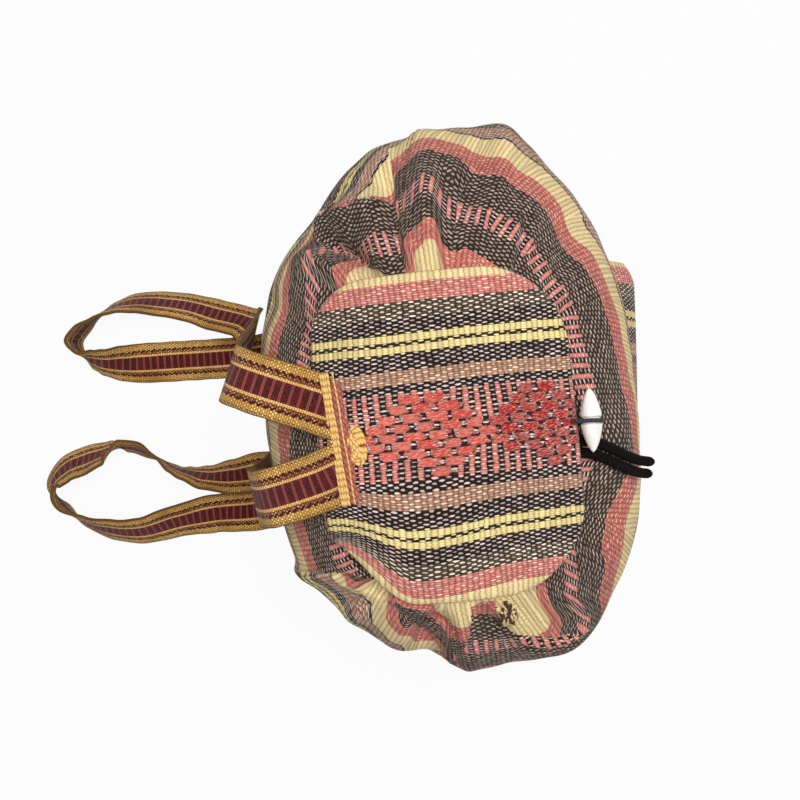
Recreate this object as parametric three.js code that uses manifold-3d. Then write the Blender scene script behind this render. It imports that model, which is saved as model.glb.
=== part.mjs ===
// Drawstring backpack of striped hand-woven cloth, standing on its base.
// Millimetres, +Z up. X runs across the bag, the back with the straps is +Y and the pocket is on -Y.
// The origin is the middle of the base, on the surface that the bag stands on.
import * as THREE from 'three';
import { ParametricGeometry } from 'three/addons/geometries/ParametricGeometry.js';
import { mergeGeometries, mergeVertices } from 'three/addons/utils/BufferGeometryUtils.js';
import Module from 'manifold-3d';

// Cloth and seams
const CLOTH = 2;
const GAP = 0.3;
const DRAPE_GAP = 0.5;

// Body
const BODY_WIDTH = 346;
const BODY_DEPTH = 242;
const BELLY_HEIGHT = 165;
const BELLY_Y = 4;
const SLUMP_FOOT = 45;
const MOUTH_HEIGHT = 240;
const MOUTH_WIDTH = 150;
const MOUTH_DEPTH = 56;
const MOUTH_X = -20;
const MOUTH_Y = 4;
const BASE_WIDTH = 252;
const BASE_DEPTH = 164;
const WALL_ROUNDNESS = 3.5;

// Drawstring
const CORD_DIAMETER = 6;
const CORD_CLEARANCE = 1.2;
const CORD_X = -25.5;
const CORD_REACH = 78;
const CORD_DRIFT = -14.5;

// Top flap
const FLAP_WIDTH = 182;
const FLAP_LENGTH = 142.5;
const FLAP_TURN = 5.5;
const FLAP_ROOT_X = -26.5;
const FLAP_ROOT_Y = 78;
const FLAP_ROOT_ROUNDING = 34;
const FLAP_TIP_ROUNDING = 48;
const FLAP_LIFT_SPREAD = 62;

// Straps and their anchor
const STRAP_WIDTH = 34;
const STRAP_THICKNESS = 3;
const STRAP_SPREAD_RIGHT = 17;
const STRAP_SPREAD_LEFT = 25;
const STRAP_MIDDLE_X = -22.9;
const ANCHOR_X = -21.5;
const ANCHOR_BACK = 10;
const ANCHOR_TURN = 10;
const ANCHOR_LENGTH = 74;
const ANCHOR_WIDTH = 6;
const TAB_WIDTH = 21;
const TAB_DEPTH = 9;

// Toggle and its loop
const TOGGLE_LENGTH = 35;
const TOGGLE_DIAMETER = 12;
const TOGGLE_WAIST = 9.5;
const LOOP_DIAMETER = 2.3;

// Front pocket
const POCKET_WIDTH = 178;
const POCKET_TOP = 132;
const POCKET_BOTTOM = 30;
const POCKET_PUFF = 20;
const POCKET_MOUTH = 7;
const POCKET_FLAP_DROP = 46;
const POCKET_FLAP_RISE = 26;

const degrees = THREE.MathUtils.degToRad;
const smooth = THREE.MathUtils.smoothstep;
const lerp = THREE.MathUtils.lerp;

const hemRadius = CORD_DIAMETER / 2 + CORD_CLEARANCE + CLOTH;
const hemReach = 1.7 * hemRadius;
const backY = BELLY_Y + BODY_DEPTH / 2;
const frontMost = BELLY_Y - BODY_DEPTH / 2;

// Where the filled bag bulges out of, or falls in from, an even oval. Angles go round from +X towards +Y.
const BULGES = [
  { at: 342, spread: 10, grow: 0.051 },
  { at: 318, spread: 12, grow: 0.013 },
  { at: 240, spread: 20, grow: 0.117 },
  { at: 218, spread: 13, grow: 0.107 },
  { at: 186, spread: 5, grow: 0.02 },
  { at: 175, spread: 8, grow: -0.085 },
  { at: 152, spread: 18, grow: -0.05 },
  { at: 129, spread: 8, grow: 0.012 },
  { at: 106, spread: 20, grow: -0.046 },
  { at: 63, spread: 10, grow: 0.02 },
  { at: 44, spread: 14, grow: -0.025 },
  { at: 11, spread: 7, grow: -0.015 },
];

// Valleys between the gathers of the shoulder, each from the mouth out to the given reach.
// A reach of 1 is the belly and 2 is the base.
const PLEATS = [
  { at: 352, spread: 8, depth: 7, reach: 1.0 },
  { at: 22, spread: 8, depth: 6, reach: 0.8 },
  { at: 48, spread: 8, depth: 13, reach: 1.0 },
  { at: 72, spread: 7, depth: 4, reach: 0.7 },
  { at: 96, spread: 7, depth: 4, reach: 0.6 },
  { at: 118, spread: 7, depth: 5, reach: 0.7 },
  { at: 142, spread: 8, depth: 6, reach: 0.8 },
  { at: 174, spread: 8, depth: 12, reach: 1.5 },
  { at: 200, spread: 7, depth: 5, reach: 0.9 },
  { at: 222, spread: 8, depth: 6, reach: 0.9 },
  { at: 246, spread: 7, depth: 3, reach: 0.6 },
  { at: 296, spread: 7, depth: 3, reach: 0.6 },
  { at: 318, spread: 8, depth: 5, reach: 0.9 },
  { at: 336, spread: 7, depth: 4, reach: 0.7 },
];

const turnBetween = (angle, at) => THREE.MathUtils.euclideanModulo(angle - at + 180, 360) - 180;

const bell = (x) => Math.exp(-x * x);

function bulge(angle) {
  return BULGES.reduce((sum, b) => sum + b.grow * bell(turnBetween(angle, b.at) / b.spread), 0);
}

function pleatDepth(angle, down) {
  let depth = 0;
  for (const p of PLEATS) {
    const rise = smooth(down, 0.16, 0.34);
    const fade = 1 - smooth(down, 0.45 * p.reach, p.reach);
    depth += p.depth * rise * fade * bell(turnBetween(angle, p.at) / p.spread);
  }
  return depth;
}

// The oval at a share of the way from the mouth (0) to the belly (1).
function shoulderOval(share) {
  return {
    x: MOUTH_X * (1 - share),
    y: lerp(MOUTH_Y, BELLY_Y, share),
    a: lerp(MOUTH_WIDTH, BODY_WIDTH, share) / 2,
    b: lerp(MOUTH_DEPTH, BODY_DEPTH, share) / 2,
  };
}

// Point of the smooth body without its pleats: down is 0 at the mouth, 1 at the belly and 2 at the base.
function smoothBody(angle, down, target) {
  const t = degrees(angle);
  if (down <= 1) {
    const turn = (down * Math.PI) / 2;
    const share = Math.sin(turn);
    const oval = shoulderOval(share);
    const grow = 1 + bulge(angle) * share;
    const z = BELLY_HEIGHT + (MOUTH_HEIGHT - BELLY_HEIGHT) * Math.cos(turn);
    return target.set(oval.x + oval.a * grow * Math.cos(t), oval.y + oval.b * grow * Math.sin(t), z);
  }
  const turn = ((2 - Math.min(down, 2)) * Math.PI) / 2;
  const power = 2 / WALL_ROUNDNESS;
  const share = Math.pow(Math.max(Math.sin(turn), 0), power);
  const z = BELLY_HEIGHT * (1 - Math.pow(Math.max(Math.cos(turn), 0), power));
  const grow = 1 + bulge(angle) * share * smooth(z, SLUMP_FOOT, BELLY_HEIGHT);
  const a = lerp(BASE_WIDTH, BODY_WIDTH, share) / 2;
  const b = lerp(BASE_DEPTH, BODY_DEPTH, share) / 2;
  return target.set(a * grow * Math.cos(t), BELLY_Y * share + b * grow * Math.sin(t), z);
}

// Unit normal of a surface given as point(u, v, target), by small differences that stay inside the range.
function normalOf(point, u, v, du, dv, range) {
  const u0 = Math.max(u - du, range[0]);
  const u1 = Math.min(u + du, range[1]);
  const v0 = Math.max(v - dv, range[2]);
  const v1 = Math.min(v + dv, range[3]);
  const alongU = point(u1, v, new THREE.Vector3()).sub(point(u0, v, new THREE.Vector3()));
  const alongV = point(u, v1, new THREE.Vector3()).sub(point(u, v0, new THREE.Vector3()));
  return alongU.cross(alongV).normalize();
}

// Point of the pleated body.
function bodyPoint(angle, down, target) {
  const depth = pleatDepth(angle, down);
  smoothBody(angle, down, target);
  if (depth > 0.01) {
    const out = normalOf(smoothBody, angle, down, 0.5, 0.005, [-720, 720, 0, 2]);
    target.addScaledVector(out, out.z < 0 && down < 1 ? depth : -depth);
  }
  return target;
}

// Level way into the mouth, at right angles to its rim.
function intoMouth(angle) {
  const t = degrees(angle);
  return new THREE.Vector3(-Math.cos(t) * MOUTH_DEPTH, -Math.sin(t) * MOUTH_WIDTH, 0).normalize();
}

function hemCentre(angle, target) {
  bodyPoint(angle, 0, target);
  target.z -= hemRadius;
  return target;
}

// Outside of the body from the base (0) over the belly (1) to the mouth (2), and of the casing that goes on
// from there round the drawstring (3) to its edge (4), stitched to the underside of the shoulder.
function panelPoint(angle, along, target) {
  if (along <= 2) {
    return bodyPoint(angle, 2 - along, target);
  }
  const inward = intoMouth(angle);
  if (along <= 3) {
    const turn = (along - 2) * Math.PI;
    hemCentre(angle, target);
    target.addScaledVector(inward, hemRadius * Math.sin(turn));
    target.z += hemRadius * Math.cos(turn);
    return target;
  }
  const share = along - 3;
  const back = share * hemReach;
  bodyPoint(angle, 0, target);
  target.addScaledVector(inward, -back);
  const above = shoulderHeight(target.x, target.y);
  target.z = above - lerp(2 * hemRadius, 2 * CLOTH + 3 * GAP, smooth(share, 0.25, 1));
  return target;
}

// Height of the smooth shoulder over a point, which is level over the open mouth.
function shoulderHeight(x, y) {
  const outside = (share) => {
    const oval = shoulderOval(share);
    const px = (x - oval.x) / oval.a;
    const py = (y - oval.y) / oval.b;
    const angle = THREE.MathUtils.radToDeg(Math.atan2(py, px));
    return Math.hypot(px, py) > 1 + bulge(angle) * share;
  };
  if (!outside(0)) {
    return MOUTH_HEIGHT;
  }
  let low = 0;
  let high = 1;
  for (let i = 0; i < 30; i += 1) {
    const middle = (low + high) / 2;
    if (outside(middle)) {
      low = middle;
    } else {
      high = middle;
    }
  }
  return BELLY_HEIGHT + (MOUTH_HEIGHT - BELLY_HEIGHT) * Math.sqrt(1 - low * low);
}

// Steepness of the smooth shoulder towards -Y, as the length of the slope for one unit of level way.
function slopeLength(x, y) {
  const fall = (shoulderHeight(x, y - 1) - shoulderHeight(x, y + 1)) / 2;
  return Math.hypot(1, fall);
}

// Turns a closed geometry's faces outward and drops those that have no area.
function outward(geometry) {
  const position = geometry.getAttribute('position');
  const index = geometry.getIndex();
  const kept = [];
  const a = new THREE.Vector3();
  const b = new THREE.Vector3();
  const c = new THREE.Vector3();
  let volume = 0;
  for (let i = 0; i < index.count; i += 3) {
    const face = [index.getX(i), index.getX(i + 1), index.getX(i + 2)];
    if (new Set(face).size === 3) {
      kept.push(face);
      a.fromBufferAttribute(position, face[0]);
      b.fromBufferAttribute(position, face[1]);
      c.fromBufferAttribute(position, face[2]);
      volume += a.dot(b.cross(c));
    }
  }
  geometry.setIndex(kept.flatMap((face) => (volume < 0 ? [...face].reverse() : face)));
  geometry.computeVertexNormals();
  return geometry;
}

function welded(geometry) {
  geometry.deleteAttribute('normal');
  geometry.deleteAttribute('uv');
  return mergeVertices(geometry, 1e-3);
}

// Closed sheet of cloth: outside(u, v, target) is its outer face over 0..1 in both directions, and its inner
// face, unless it is given too, lies a thickness behind it. lines has the shares that divide it each way.
function sheet(outside, lines, thickness, behind = null) {
  const at = (list, share) => {
    const place = share * (list.length - 1);
    const low = Math.min(Math.floor(place + 1e-9), list.length - 2);
    return lerp(list[low], list[low + 1], place - low);
  };
  const offset = (u, v, target) => {
    const back = normalOf(outside, u, v, 0.004, 0.004, [0, 1, 0, 1]);
    return outside(u, v, target).addScaledVector(back, -thickness);
  };
  const inside = behind ?? offset;
  const [across, along] = lines;
  const nu = across.length - 1;
  const nv = along.length - 1;
  const face = (side) => (u, v, target) => side(at(across, u), at(along, v), target);
  const edge = (u, v) => (share, depth, target) => {
    const pu = u ?? at(across, share);
    const pv = v ?? at(along, share);
    return (depth < 0.5 ? outside : inside)(pu, pv, target);
  };
  const faces = [
    new ParametricGeometry(face(outside), nu, nv),
    flipped(new ParametricGeometry(face(inside), nu, nv)),
    flipped(new ParametricGeometry(edge(null, along[0]), nu, 1)),
    new ParametricGeometry(edge(null, along[nv]), nu, 1),
    new ParametricGeometry(edge(across[0], null), nv, 1),
    flipped(new ParametricGeometry(edge(across[nu], null), nv, 1)),
  ];
  faces.forEach((f) => f.deleteAttribute('normal'));
  faces.forEach((f) => f.deleteAttribute('uv'));
  return outward(mergeVertices(mergeGeometries(faces), 1e-3));
}

function flipped(geometry) {
  const index = geometry.getIndex().array;
  for (let i = 0; i < index.length; i += 3) {
    [index[i], index[i + 1]] = [index[i + 1], index[i]];
  }
  return geometry;
}

const even = (count) => Array.from({ length: count + 1 }, (_, i) => i / count);

// Round cord through the given points.
function cordGeometry(points, diameter, steps, sides, closed = false) {
  const section = new THREE.Shape(
    even(sides)
      .slice(0, sides)
      .map((s) => new THREE.Vector2(Math.cos(2 * Math.PI * s), Math.sin(2 * Math.PI * s)))
      .map((p) => p.multiplyScalar(diameter / 2)),
  );
  const extrudePath = new THREE.CatmullRomCurve3(points, closed, 'centripetal');
  return outward(welded(new THREE.ExtrudeGeometry(section, { steps, extrudePath })));
}

const wasm = await Module();
wasm.setup();

function solidOf(geometry) {
  return new wasm.Manifold(
    new wasm.Mesh({
      numProp: 3,
      vertProperties: new Float32Array(geometry.getAttribute('position').array),
      triVerts: new Uint32Array(geometry.getIndex().array),
    }),
  );
}

function geometryOf(solid) {
  const mesh = solid.getMesh();
  const geometry = new THREE.BufferGeometry();
  geometry.setAttribute('position', new THREE.BufferAttribute(new Float32Array(mesh.vertProperties), 3));
  geometry.setIndex(Array.from(mesh.triVerts));
  geometry.computeVertexNormals();
  return geometry;
}

const group = new THREE.Group();

function add(name, geometry, color, roughness, metalness = 0) {
  const mesh = new THREE.Mesh(geometry, new THREE.MeshStandardMaterial({ color, roughness, metalness }));
  mesh.name = name;
  group.add(mesh);
  return mesh;
}

// Body panels

const bandRows = [0, 0.06, 0.12, 0.19, 0.26, 0.35, 0.447];
const panelRows = [0.453, 0.56, 0.68, 0.88, 1, 1.18, 1.36, 1.54, 1.7, 1.85, 1.997];
const casingRows = [2.006, 2.25, 2.5, 2.75, 3, 3.5, 4];

// The side seams wander a little on the way up, as the gathers pull the cloth round.
const sideSeam = (side, along) => (side > 0 ? 7 + 20 * smooth(along, 1, 2) : 180 - 4 * smooth(along, 1, 2));

function panelInside(angle, along, target) {
  const back = normalOf(panelPoint, angle, along, 1, 0.016, [-720, 720, 0, 4]);
  return panelPoint(angle, along, target).addScaledVector(back, -CLOTH);
}

function panel(first, last, columns, rows) {
  const face = (side) => (u, v, target) => {
    const along = 4 * v;
    const ends = [first(along), last(along)].map((angle, i) => {
      const ahead = panelInside(angle + 1, along, new THREE.Vector3());
      const speed = ahead.distanceTo(panelInside(angle, along, new THREE.Vector3()));
      return angle + ((i === 0 ? 1 : -1) * GAP) / 2 / Math.max(speed, 0.05);
    });
    return side(lerp(ends[0], ends[1], u), along, target);
  };
  return sheet(face(panelPoint), [even(columns), rows.map((row) => row / 4)], CLOTH, face(panelInside));
}

const plusSeam = (along) => sideSeam(1, along);
const minusSeam = (along) => sideSeam(-1, along);

add('back_panel', panel(plusSeam, minusSeam, 34, panelRows), 0x6a5a50, 0.95);

// The front panel is cut away at the middle of the mouth, where both ends of the drawstring come out.
const notchHalf = 2 * CORD_DIAMETER;
const frontRimY = MOUTH_Y - MOUTH_DEPTH / 2;
const notchDeep = 1.5 * hemRadius + hemReach + 4;
const notch = new THREE.BoxGeometry(2 * notchHalf, notchDeep, 6 * hemRadius);
notch.translate(CORD_X, frontRimY + 1.5 * hemRadius - notchDeep / 2, MOUTH_HEIGHT - hemRadius);
const wholeFront = panel(minusSeam, (along) => plusSeam(along) + 360, 34, panelRows);
add('front_panel', geometryOf(solidOf(wholeFront).subtract(solidOf(welded(notch)))), 0x74604f, 0.95);

// Base, and the band of the same plain cloth round its foot
add('base_band_back', panel(plusSeam, minusSeam, 32, bandRows), 0x4a4038, 0.95);
add('base_band_front', panel(minusSeam, (along) => plusSeam(along) + 360, 32, bandRows), 0x4a4038, 0.95);
const baseShape = new THREE.Shape();
baseShape.absellipse(0, 0, BASE_WIDTH / 2 - GAP, BASE_DEPTH / 2 - GAP, 0, 2 * Math.PI);
const base = new THREE.ExtrudeGeometry(baseShape, { depth: CLOTH, bevelEnabled: false, curveSegments: 28 });
add('base_panel', outward(welded(base)), 0x4a4038, 0.95);

// Casing of the mouth and the drawstring inside it, from one side of the notch round to the other
const rimAngle = (x) => -THREE.MathUtils.radToDeg(Math.acos((x - MOUTH_X) / (MOUTH_WIDTH / 2)));
const runStart = rimAngle(CORD_X + notchHalf);
const runEnd = rimAngle(CORD_X - notchHalf) + 360;
add('mouth_casing', panel(() => runStart, () => runEnd, 56, casingRows), 0x8a7a58, 0.95);
const runPoints = even(64).map((s) => hemCentre(lerp(runStart, runEnd, s), new THREE.Vector3()));
add('drawstring_run', cordGeometry(runPoints, CORD_DIAMETER, 50, 8), 0x15151a, 0.7);

// Free ends of the drawstring, out of the notch, over the shoulder and down the front
function drawstringEnd(side) {
  const from = hemCentre(rimAngle(CORD_X + side * notchHalf), new THREE.Vector3());
  const r = CORD_DIAMETER / 2;
  const points = [
    new THREE.Vector3(from.x - side * 2 * GAP, from.y, from.z),
    new THREE.Vector3(from.x - side * 0.7 * r, from.y, from.z),
    new THREE.Vector3(CORD_X + side * 2.1 * r, from.y - 1.5 * r, from.z + 1.0 * r),
  ];
  const startY = frontRimY + 1.5 * hemRadius - notchDeep;
  for (const s of even(9)) {
    const y = startY - s * CORD_REACH + (side < 0 ? 1.5 * s : 0);
    const x = CORD_X + side * 1.16 * r + CORD_DRIFT * smooth(s, 0.35, 1);
    const under = Math.max(y, 14 + frontMost);
    const height = shoulderHeight(x, under) + (r + 4 * GAP) * slopeLength(x, under);
    points.push(new THREE.Vector3(x, y, height - 0.5 * (under - y)));
  }
  return cordGeometry(points, CORD_DIAMETER, 24, 8);
}
add('drawstring_end_right', drawstringEnd(1), 0x15151a, 0.7);
add('drawstring_end_left', drawstringEnd(-1), 0x15151a, 0.7);

// Top flap

const turn = degrees(FLAP_TURN);
const flapAlong = new THREE.Vector2(Math.sin(turn), -Math.cos(turn));
const flapAcross = new THREE.Vector2(Math.cos(turn), Math.sin(turn));

function flapHalfWidth(way) {
  const tip = FLAP_LENGTH - way;
  const rounded = (radius, reach) => radius - Math.sqrt(Math.max(radius ** 2 - (radius - reach) ** 2, 0));
  const fromRoot = way < FLAP_ROOT_ROUNDING ? rounded(FLAP_ROOT_ROUNDING, way) : 0;
  const fromTip = tip < FLAP_TIP_ROUNDING ? rounded(FLAP_TIP_ROUNDING, tip) : 0;
  return FLAP_WIDTH / 2 - fromRoot - fromTip;
}

// The flap lies on the shoulder, and rides over the drawstring towards its free edge.
const flapLift = (x, y) => (CORD_DIAMETER + 2.4) * smooth(-y, -40, 22) * bell((x - CORD_X) / FLAP_LIFT_SPREAD);

function flapPoint(u, v, target) {
  const way = u * FLAP_LENGTH;
  const side = (2 * v - 1) * flapHalfWidth(way);
  const x = FLAP_ROOT_X + flapAlong.x * way + flapAcross.x * side;
  const y = FLAP_ROOT_Y + flapAlong.y * way + flapAcross.y * side;
  return target.set(x, y, flapTop(x, y));
}

function flapTop(x, y) {
  const slope = Math.hypot(slopeLength(x, y), shoulderHeight(x + 1, y) - shoulderHeight(x, y));
  return shoulderHeight(x, y) + (DRAPE_GAP + CLOTH) * slope + flapLift(x, y);
}

const flapRows = [0, 0.04, 0.11, 0.2, 0.3, 0.4, 0.5, 0.6, 0.7, 0.79, 0.87, 0.94, 0.98, 1];
add('top_flap', sheet(flapPoint, [flapRows, even(16)], CLOTH), 0x8a5a50, 0.95);

// Straps: belts of woven webbing from the anchor on the flap's root, out over the back, down to the surface,
// round a loop there and back to the seam of the base.

// Each place is [x, way behind the back of the belly, height of the underside, heading of the width, roll].
const STRAP_RIGHT = [
  [13.5, 1.5, 224, -19, 0],
  [19, 9, 196, -15, 0],
  [30, 13, 145, -10, 0],
  [44, 18, 88, -10, 0],
  [57, 25, 36, -12, 8],
  [62, 32, 9, -12, 26],
  [66, 41, 1, -12, 39],
  [71.5, 63, 0, -13, 38],
  [77.5, 85, 0, -11, 46],
  [80.5, 108, 0, -5, 50],
  [81, 129, 0, 6, 57],
  [77, 146, 0, 22, 67],
  [69, 161, 0, 34, 77],
  [58.5, 173, 0, 48, 89],
  [48, 179.5, 0, 97, 90],
  [38, 173.5, 0, 135, 84],
  [33, 163, 0, 158, 62],
  [31, 155, 0, 172, 54],
  [30.5, 140, 0, 180, 36],
  [31, 126, 0, 183, 20],
  [33, 97, 0, 183, 0],
  [35, 65, 0, 184, 0],
  [38, 32, 0, 184, 0],
];
const STRAP_LEFT = [
  [-56, -17, 223, 17, 0],
  [-58, -6, 201, 13, 0],
  [-59, -1, 165, 10, 0],
  [-60, 4, 110, 9, 0],
  [-60, 9, 55, 9, 0],
  [-60, 15, 15, 10, 3],
  [-60.5, 24, 2, 10, 10],
  [-64, 47, 0, 5, 40],
  [-64.5, 70, 0, -6, 64],
  [-61, 85, 0, -14, 80],
  [-57.5, 96, 0, -26, 90],
  [-49.5, 108, 0, -30, 101],
  [-41.5, 123, 0, -18, 113],
  [-38.5, 138, 0, -7, 108],
  [-40, 145, 0, 14, 88],
  [-44.5, 154, 0, 23, 60],
  [-50.5, 171, 0, 26, 48],
  [-57.5, 187, 0, 44, 47],
  [-71, 197.5, 0, 83, 52],
  [-88.5, 188.5, 0, 131, 82],
  [-102, 169, 0, 155, 64],
  [-108.5, 147, 0, 170, 53],
  [-109.5, 124, 0, 187, 47],
  [-101.5, 94, 0, 193, 37],
  [-96, 64, 0, 186, 16],
  [-94, 30, 0, 182, 0],
];

function strapHeight(under, roll) {
  const lean = Math.abs(Math.sin(degrees(roll))) * (STRAP_WIDTH / 2);
  return under + lean + (Math.abs(Math.cos(degrees(roll))) * STRAP_THICKNESS) / 2 + 0.2;
}

// Places on the flap's root, where the strap's end is stitched down.
function strapStart(x, tilt) {
  const places = [];
  for (const way of [-14, 0, 14]) {
    const px = x + way * Math.sin(degrees(tilt));
    const py = FLAP_ROOT_Y - 13 + way * Math.cos(degrees(tilt));
    let top = 0;
    for (let side = -1; side <= 1; side += 0.25) {
      const reach = (side * STRAP_WIDTH) / 2;
      top = Math.max(top, flapTop(px + reach * Math.cos(degrees(tilt)), py - reach * Math.sin(degrees(tilt))));
    }
    places.push([px, py - backY, top + 3 * GAP, -tilt, 0]);
  }
  return places;
}

// The last places, square to the foot of the back panel.
function strapFinish(x) {
  const angle = THREE.MathUtils.radToDeg(Math.acos((2 * x) / BODY_WIDTH));
  const foot = new THREE.Vector3();
  let down = 2;
  while (bodyPoint(angle, down, foot).z < STRAP_THICKNESS + 1 && down > 1) {
    down -= 0.002;
  }
  const t = degrees(angle);
  const out = new THREE.Vector2(Math.cos(t) * BASE_DEPTH, Math.sin(t) * BASE_WIDTH).normalize();
  const heading = THREE.MathUtils.radToDeg(Math.atan2(-out.x, -out.y));
  return [24, 12, 0.9].map((way) => [foot.x + out.x * way, foot.y + out.y * way - backY, 0, 180 - heading + 180, 0]);
}

function strapGeometry(start, places, finish) {
  const all = [...start, ...places, ...finish];
  const spots = all.map(([x, out, under, , roll]) => new THREE.Vector3(x, backY + out, strapHeight(under, roll)));
  const path = new THREE.CatmullRomCurve3(spots, false, 'centripetal');
  const widths = all.map(([, , , heading, roll]) => {
    const level = Math.cos(degrees(roll));
    return new THREE.Vector3(
      level * Math.cos(degrees(heading)),
      level * Math.sin(degrees(heading)),
      -Math.sin(degrees(roll)),
    );
  });
  const last = all.length - 1;
  const frame = (u) => {
    const place = u * last;
    const low = Math.min(Math.floor(place), last - 1);
    const ahead = path.getTangent(u);
    const wide = widths[low].clone().lerp(widths[low + 1], smooth(place - low, 0, 1));
    wide.addScaledVector(ahead, -wide.dot(ahead)).normalize();
    const out = wide.clone().cross(ahead).normalize();
    const at = path.getPoint(u);
    at.z = Math.max(at.z, 0.2 + (Math.abs(wide.z) * STRAP_WIDTH + Math.abs(out.z) * STRAP_THICKNESS) / 2);
    return { at, wide, out };
  };
  const surface = (side) => (u, v, target) => {
    const { at, wide, out } = frame(u);
    target.copy(at).addScaledVector(wide, (v - 0.5) * STRAP_WIDTH);
    return target.addScaledVector(out, (side * STRAP_THICKNESS) / 2);
  };
  return ribbon(surface(1), surface(-1), 3 * last);
}

// Closed flat band between two faces that are given in full.
function ribbon(upper, lower, steps) {
  const edge = (v) => (share, depth, target) => (depth < 0.5 ? upper : lower)(share, v, target);
  const end = (u) => (share, depth, target) => (depth < 0.5 ? upper : lower)(u, share, target);
  const faces = [
    new ParametricGeometry(upper, steps, 1),
    flipped(new ParametricGeometry(lower, steps, 1)),
    flipped(new ParametricGeometry(edge(0), steps, 1)),
    new ParametricGeometry(edge(1), steps, 1),
    new ParametricGeometry(end(0), 1, 1),
    flipped(new ParametricGeometry(end(1), 1, 1)),
  ];
  faces.forEach((f) => f.deleteAttribute('normal'));
  faces.forEach((f) => f.deleteAttribute('uv'));
  return outward(mergeVertices(mergeGeometries(faces), 1e-3));
}

const strapApart = (STRAP_WIDTH - 0.2) / 2;
const bandMiddle = new THREE.Vector2(ANCHOR_X, FLAP_ROOT_Y - ANCHOR_BACK);
const bandTurn = degrees(ANCHOR_TURN);
const bandAlong = new THREE.Vector2(Math.sin(bandTurn), -Math.cos(bandTurn));
const bandAcross = new THREE.Vector2(Math.cos(bandTurn), Math.sin(bandTurn));

// Both strap ends are cut off in line with the anchor band.
const offcutDeep = 2 * STRAP_WIDTH;
const offcut = new THREE.BoxGeometry(4 * ANCHOR_LENGTH, offcutDeep, MOUTH_HEIGHT);
offcut.rotateZ(bandTurn);
const cutWay = offcutDeep / 2 - ANCHOR_WIDTH / 4;
offcut.translate(bandMiddle.x + bandAlong.x * cutWay, bandMiddle.y + bandAlong.y * cutWay, MOUTH_HEIGHT);
const offcutSolid = solidOf(welded(offcut));
const trimmed = (geometry) => geometryOf(solidOf(geometry).subtract(offcutSolid));

const rightStart = strapStart(STRAP_MIDDLE_X + strapApart, STRAP_SPREAD_RIGHT);
const leftStart = strapStart(STRAP_MIDDLE_X - strapApart, -STRAP_SPREAD_LEFT);
add('strap_right', trimmed(strapGeometry(rightStart, STRAP_RIGHT, strapFinish(46))), 0x7a3a22, 0.85);
add('strap_left', trimmed(strapGeometry(leftStart, STRAP_LEFT, strapFinish(-88))), 0x7a3a22, 0.85);

// Anchor band over both strap ends, and the half-round tab beside it
function bandPoint(u, v, target) {
  const side = (u - 0.5) * ANCHOR_LENGTH;
  const way = (v - 0.5) * ANCHOR_WIDTH;
  const x = bandMiddle.x + bandAcross.x * side + bandAlong.x * way;
  const y = bandMiddle.y + bandAcross.y * side + bandAlong.y * way;
  return target.set(x, y, flapTop(x, y) + STRAP_THICKNESS + CLOTH + 9 * GAP);
}
add('strap_anchor_band', sheet(bandPoint, [even(12), even(1)], CLOTH), 0xb07a3c, 0.85);

function tabPoint(u, v, target) {
  const side = (u - 0.5) * TAB_WIDTH - 5.5;
  const round = Math.sqrt(Math.max(1 - (2 * u - 1) ** 2, 0.05));
  const way = ANCHOR_WIDTH / 2 + 3 + v * TAB_DEPTH * round;
  const x = bandMiddle.x + bandAcross.x * side + bandAlong.x * way;
  const y = bandMiddle.y + bandAcross.y * side + bandAlong.y * way;
  return target.set(x, y, flapTop(x, y) + GAP);
}
add('anchor_tab', sheet(tabPoint, [even(10), even(2)], CLOTH), 0xb0803c, 0.9);

// Toggle, lying across the front shoulder just past the flap's free edge

const flapTip = flapPoint(1, 0.5, new THREE.Vector3());
const toggleX = flapTip.x + 2;
const toggleY = flapTip.y - TOGGLE_DIAMETER / 2 - 2 * GAP;
const stand = TOGGLE_DIAMETER / 2 + CORD_DIAMETER + 7 * GAP;
const toggleZ = shoulderHeight(toggleX, toggleY) + stand * slopeLength(toggleX, toggleY);
const half = TOGGLE_LENGTH / 2;
const toggleProfile = [
  [0, -half],
  [0.16 * TOGGLE_DIAMETER, -0.96 * half],
  [0.3 * TOGGLE_DIAMETER, -0.8 * half],
  [0.43 * TOGGLE_DIAMETER, -0.52 * half],
  [0.5 * TOGGLE_DIAMETER, -1.3 * LOOP_DIAMETER],
  [TOGGLE_WAIST / 2, -0.75 * LOOP_DIAMETER],
  [TOGGLE_WAIST / 2, 0.75 * LOOP_DIAMETER],
  [0.5 * TOGGLE_DIAMETER, 1.3 * LOOP_DIAMETER],
  [0.43 * TOGGLE_DIAMETER, 0.52 * half],
  [0.3 * TOGGLE_DIAMETER, 0.8 * half],
  [0.16 * TOGGLE_DIAMETER, 0.96 * half],
  [0, half],
].map(([x, y]) => new THREE.Vector2(x, y));
const toggle = add('toggle', outward(welded(new THREE.LatheGeometry(toggleProfile, 14))), 0xf1efe8, 0.4);
toggle.rotation.z = -Math.PI / 2;
toggle.position.set(toggleX, toggleY, toggleZ);

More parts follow.
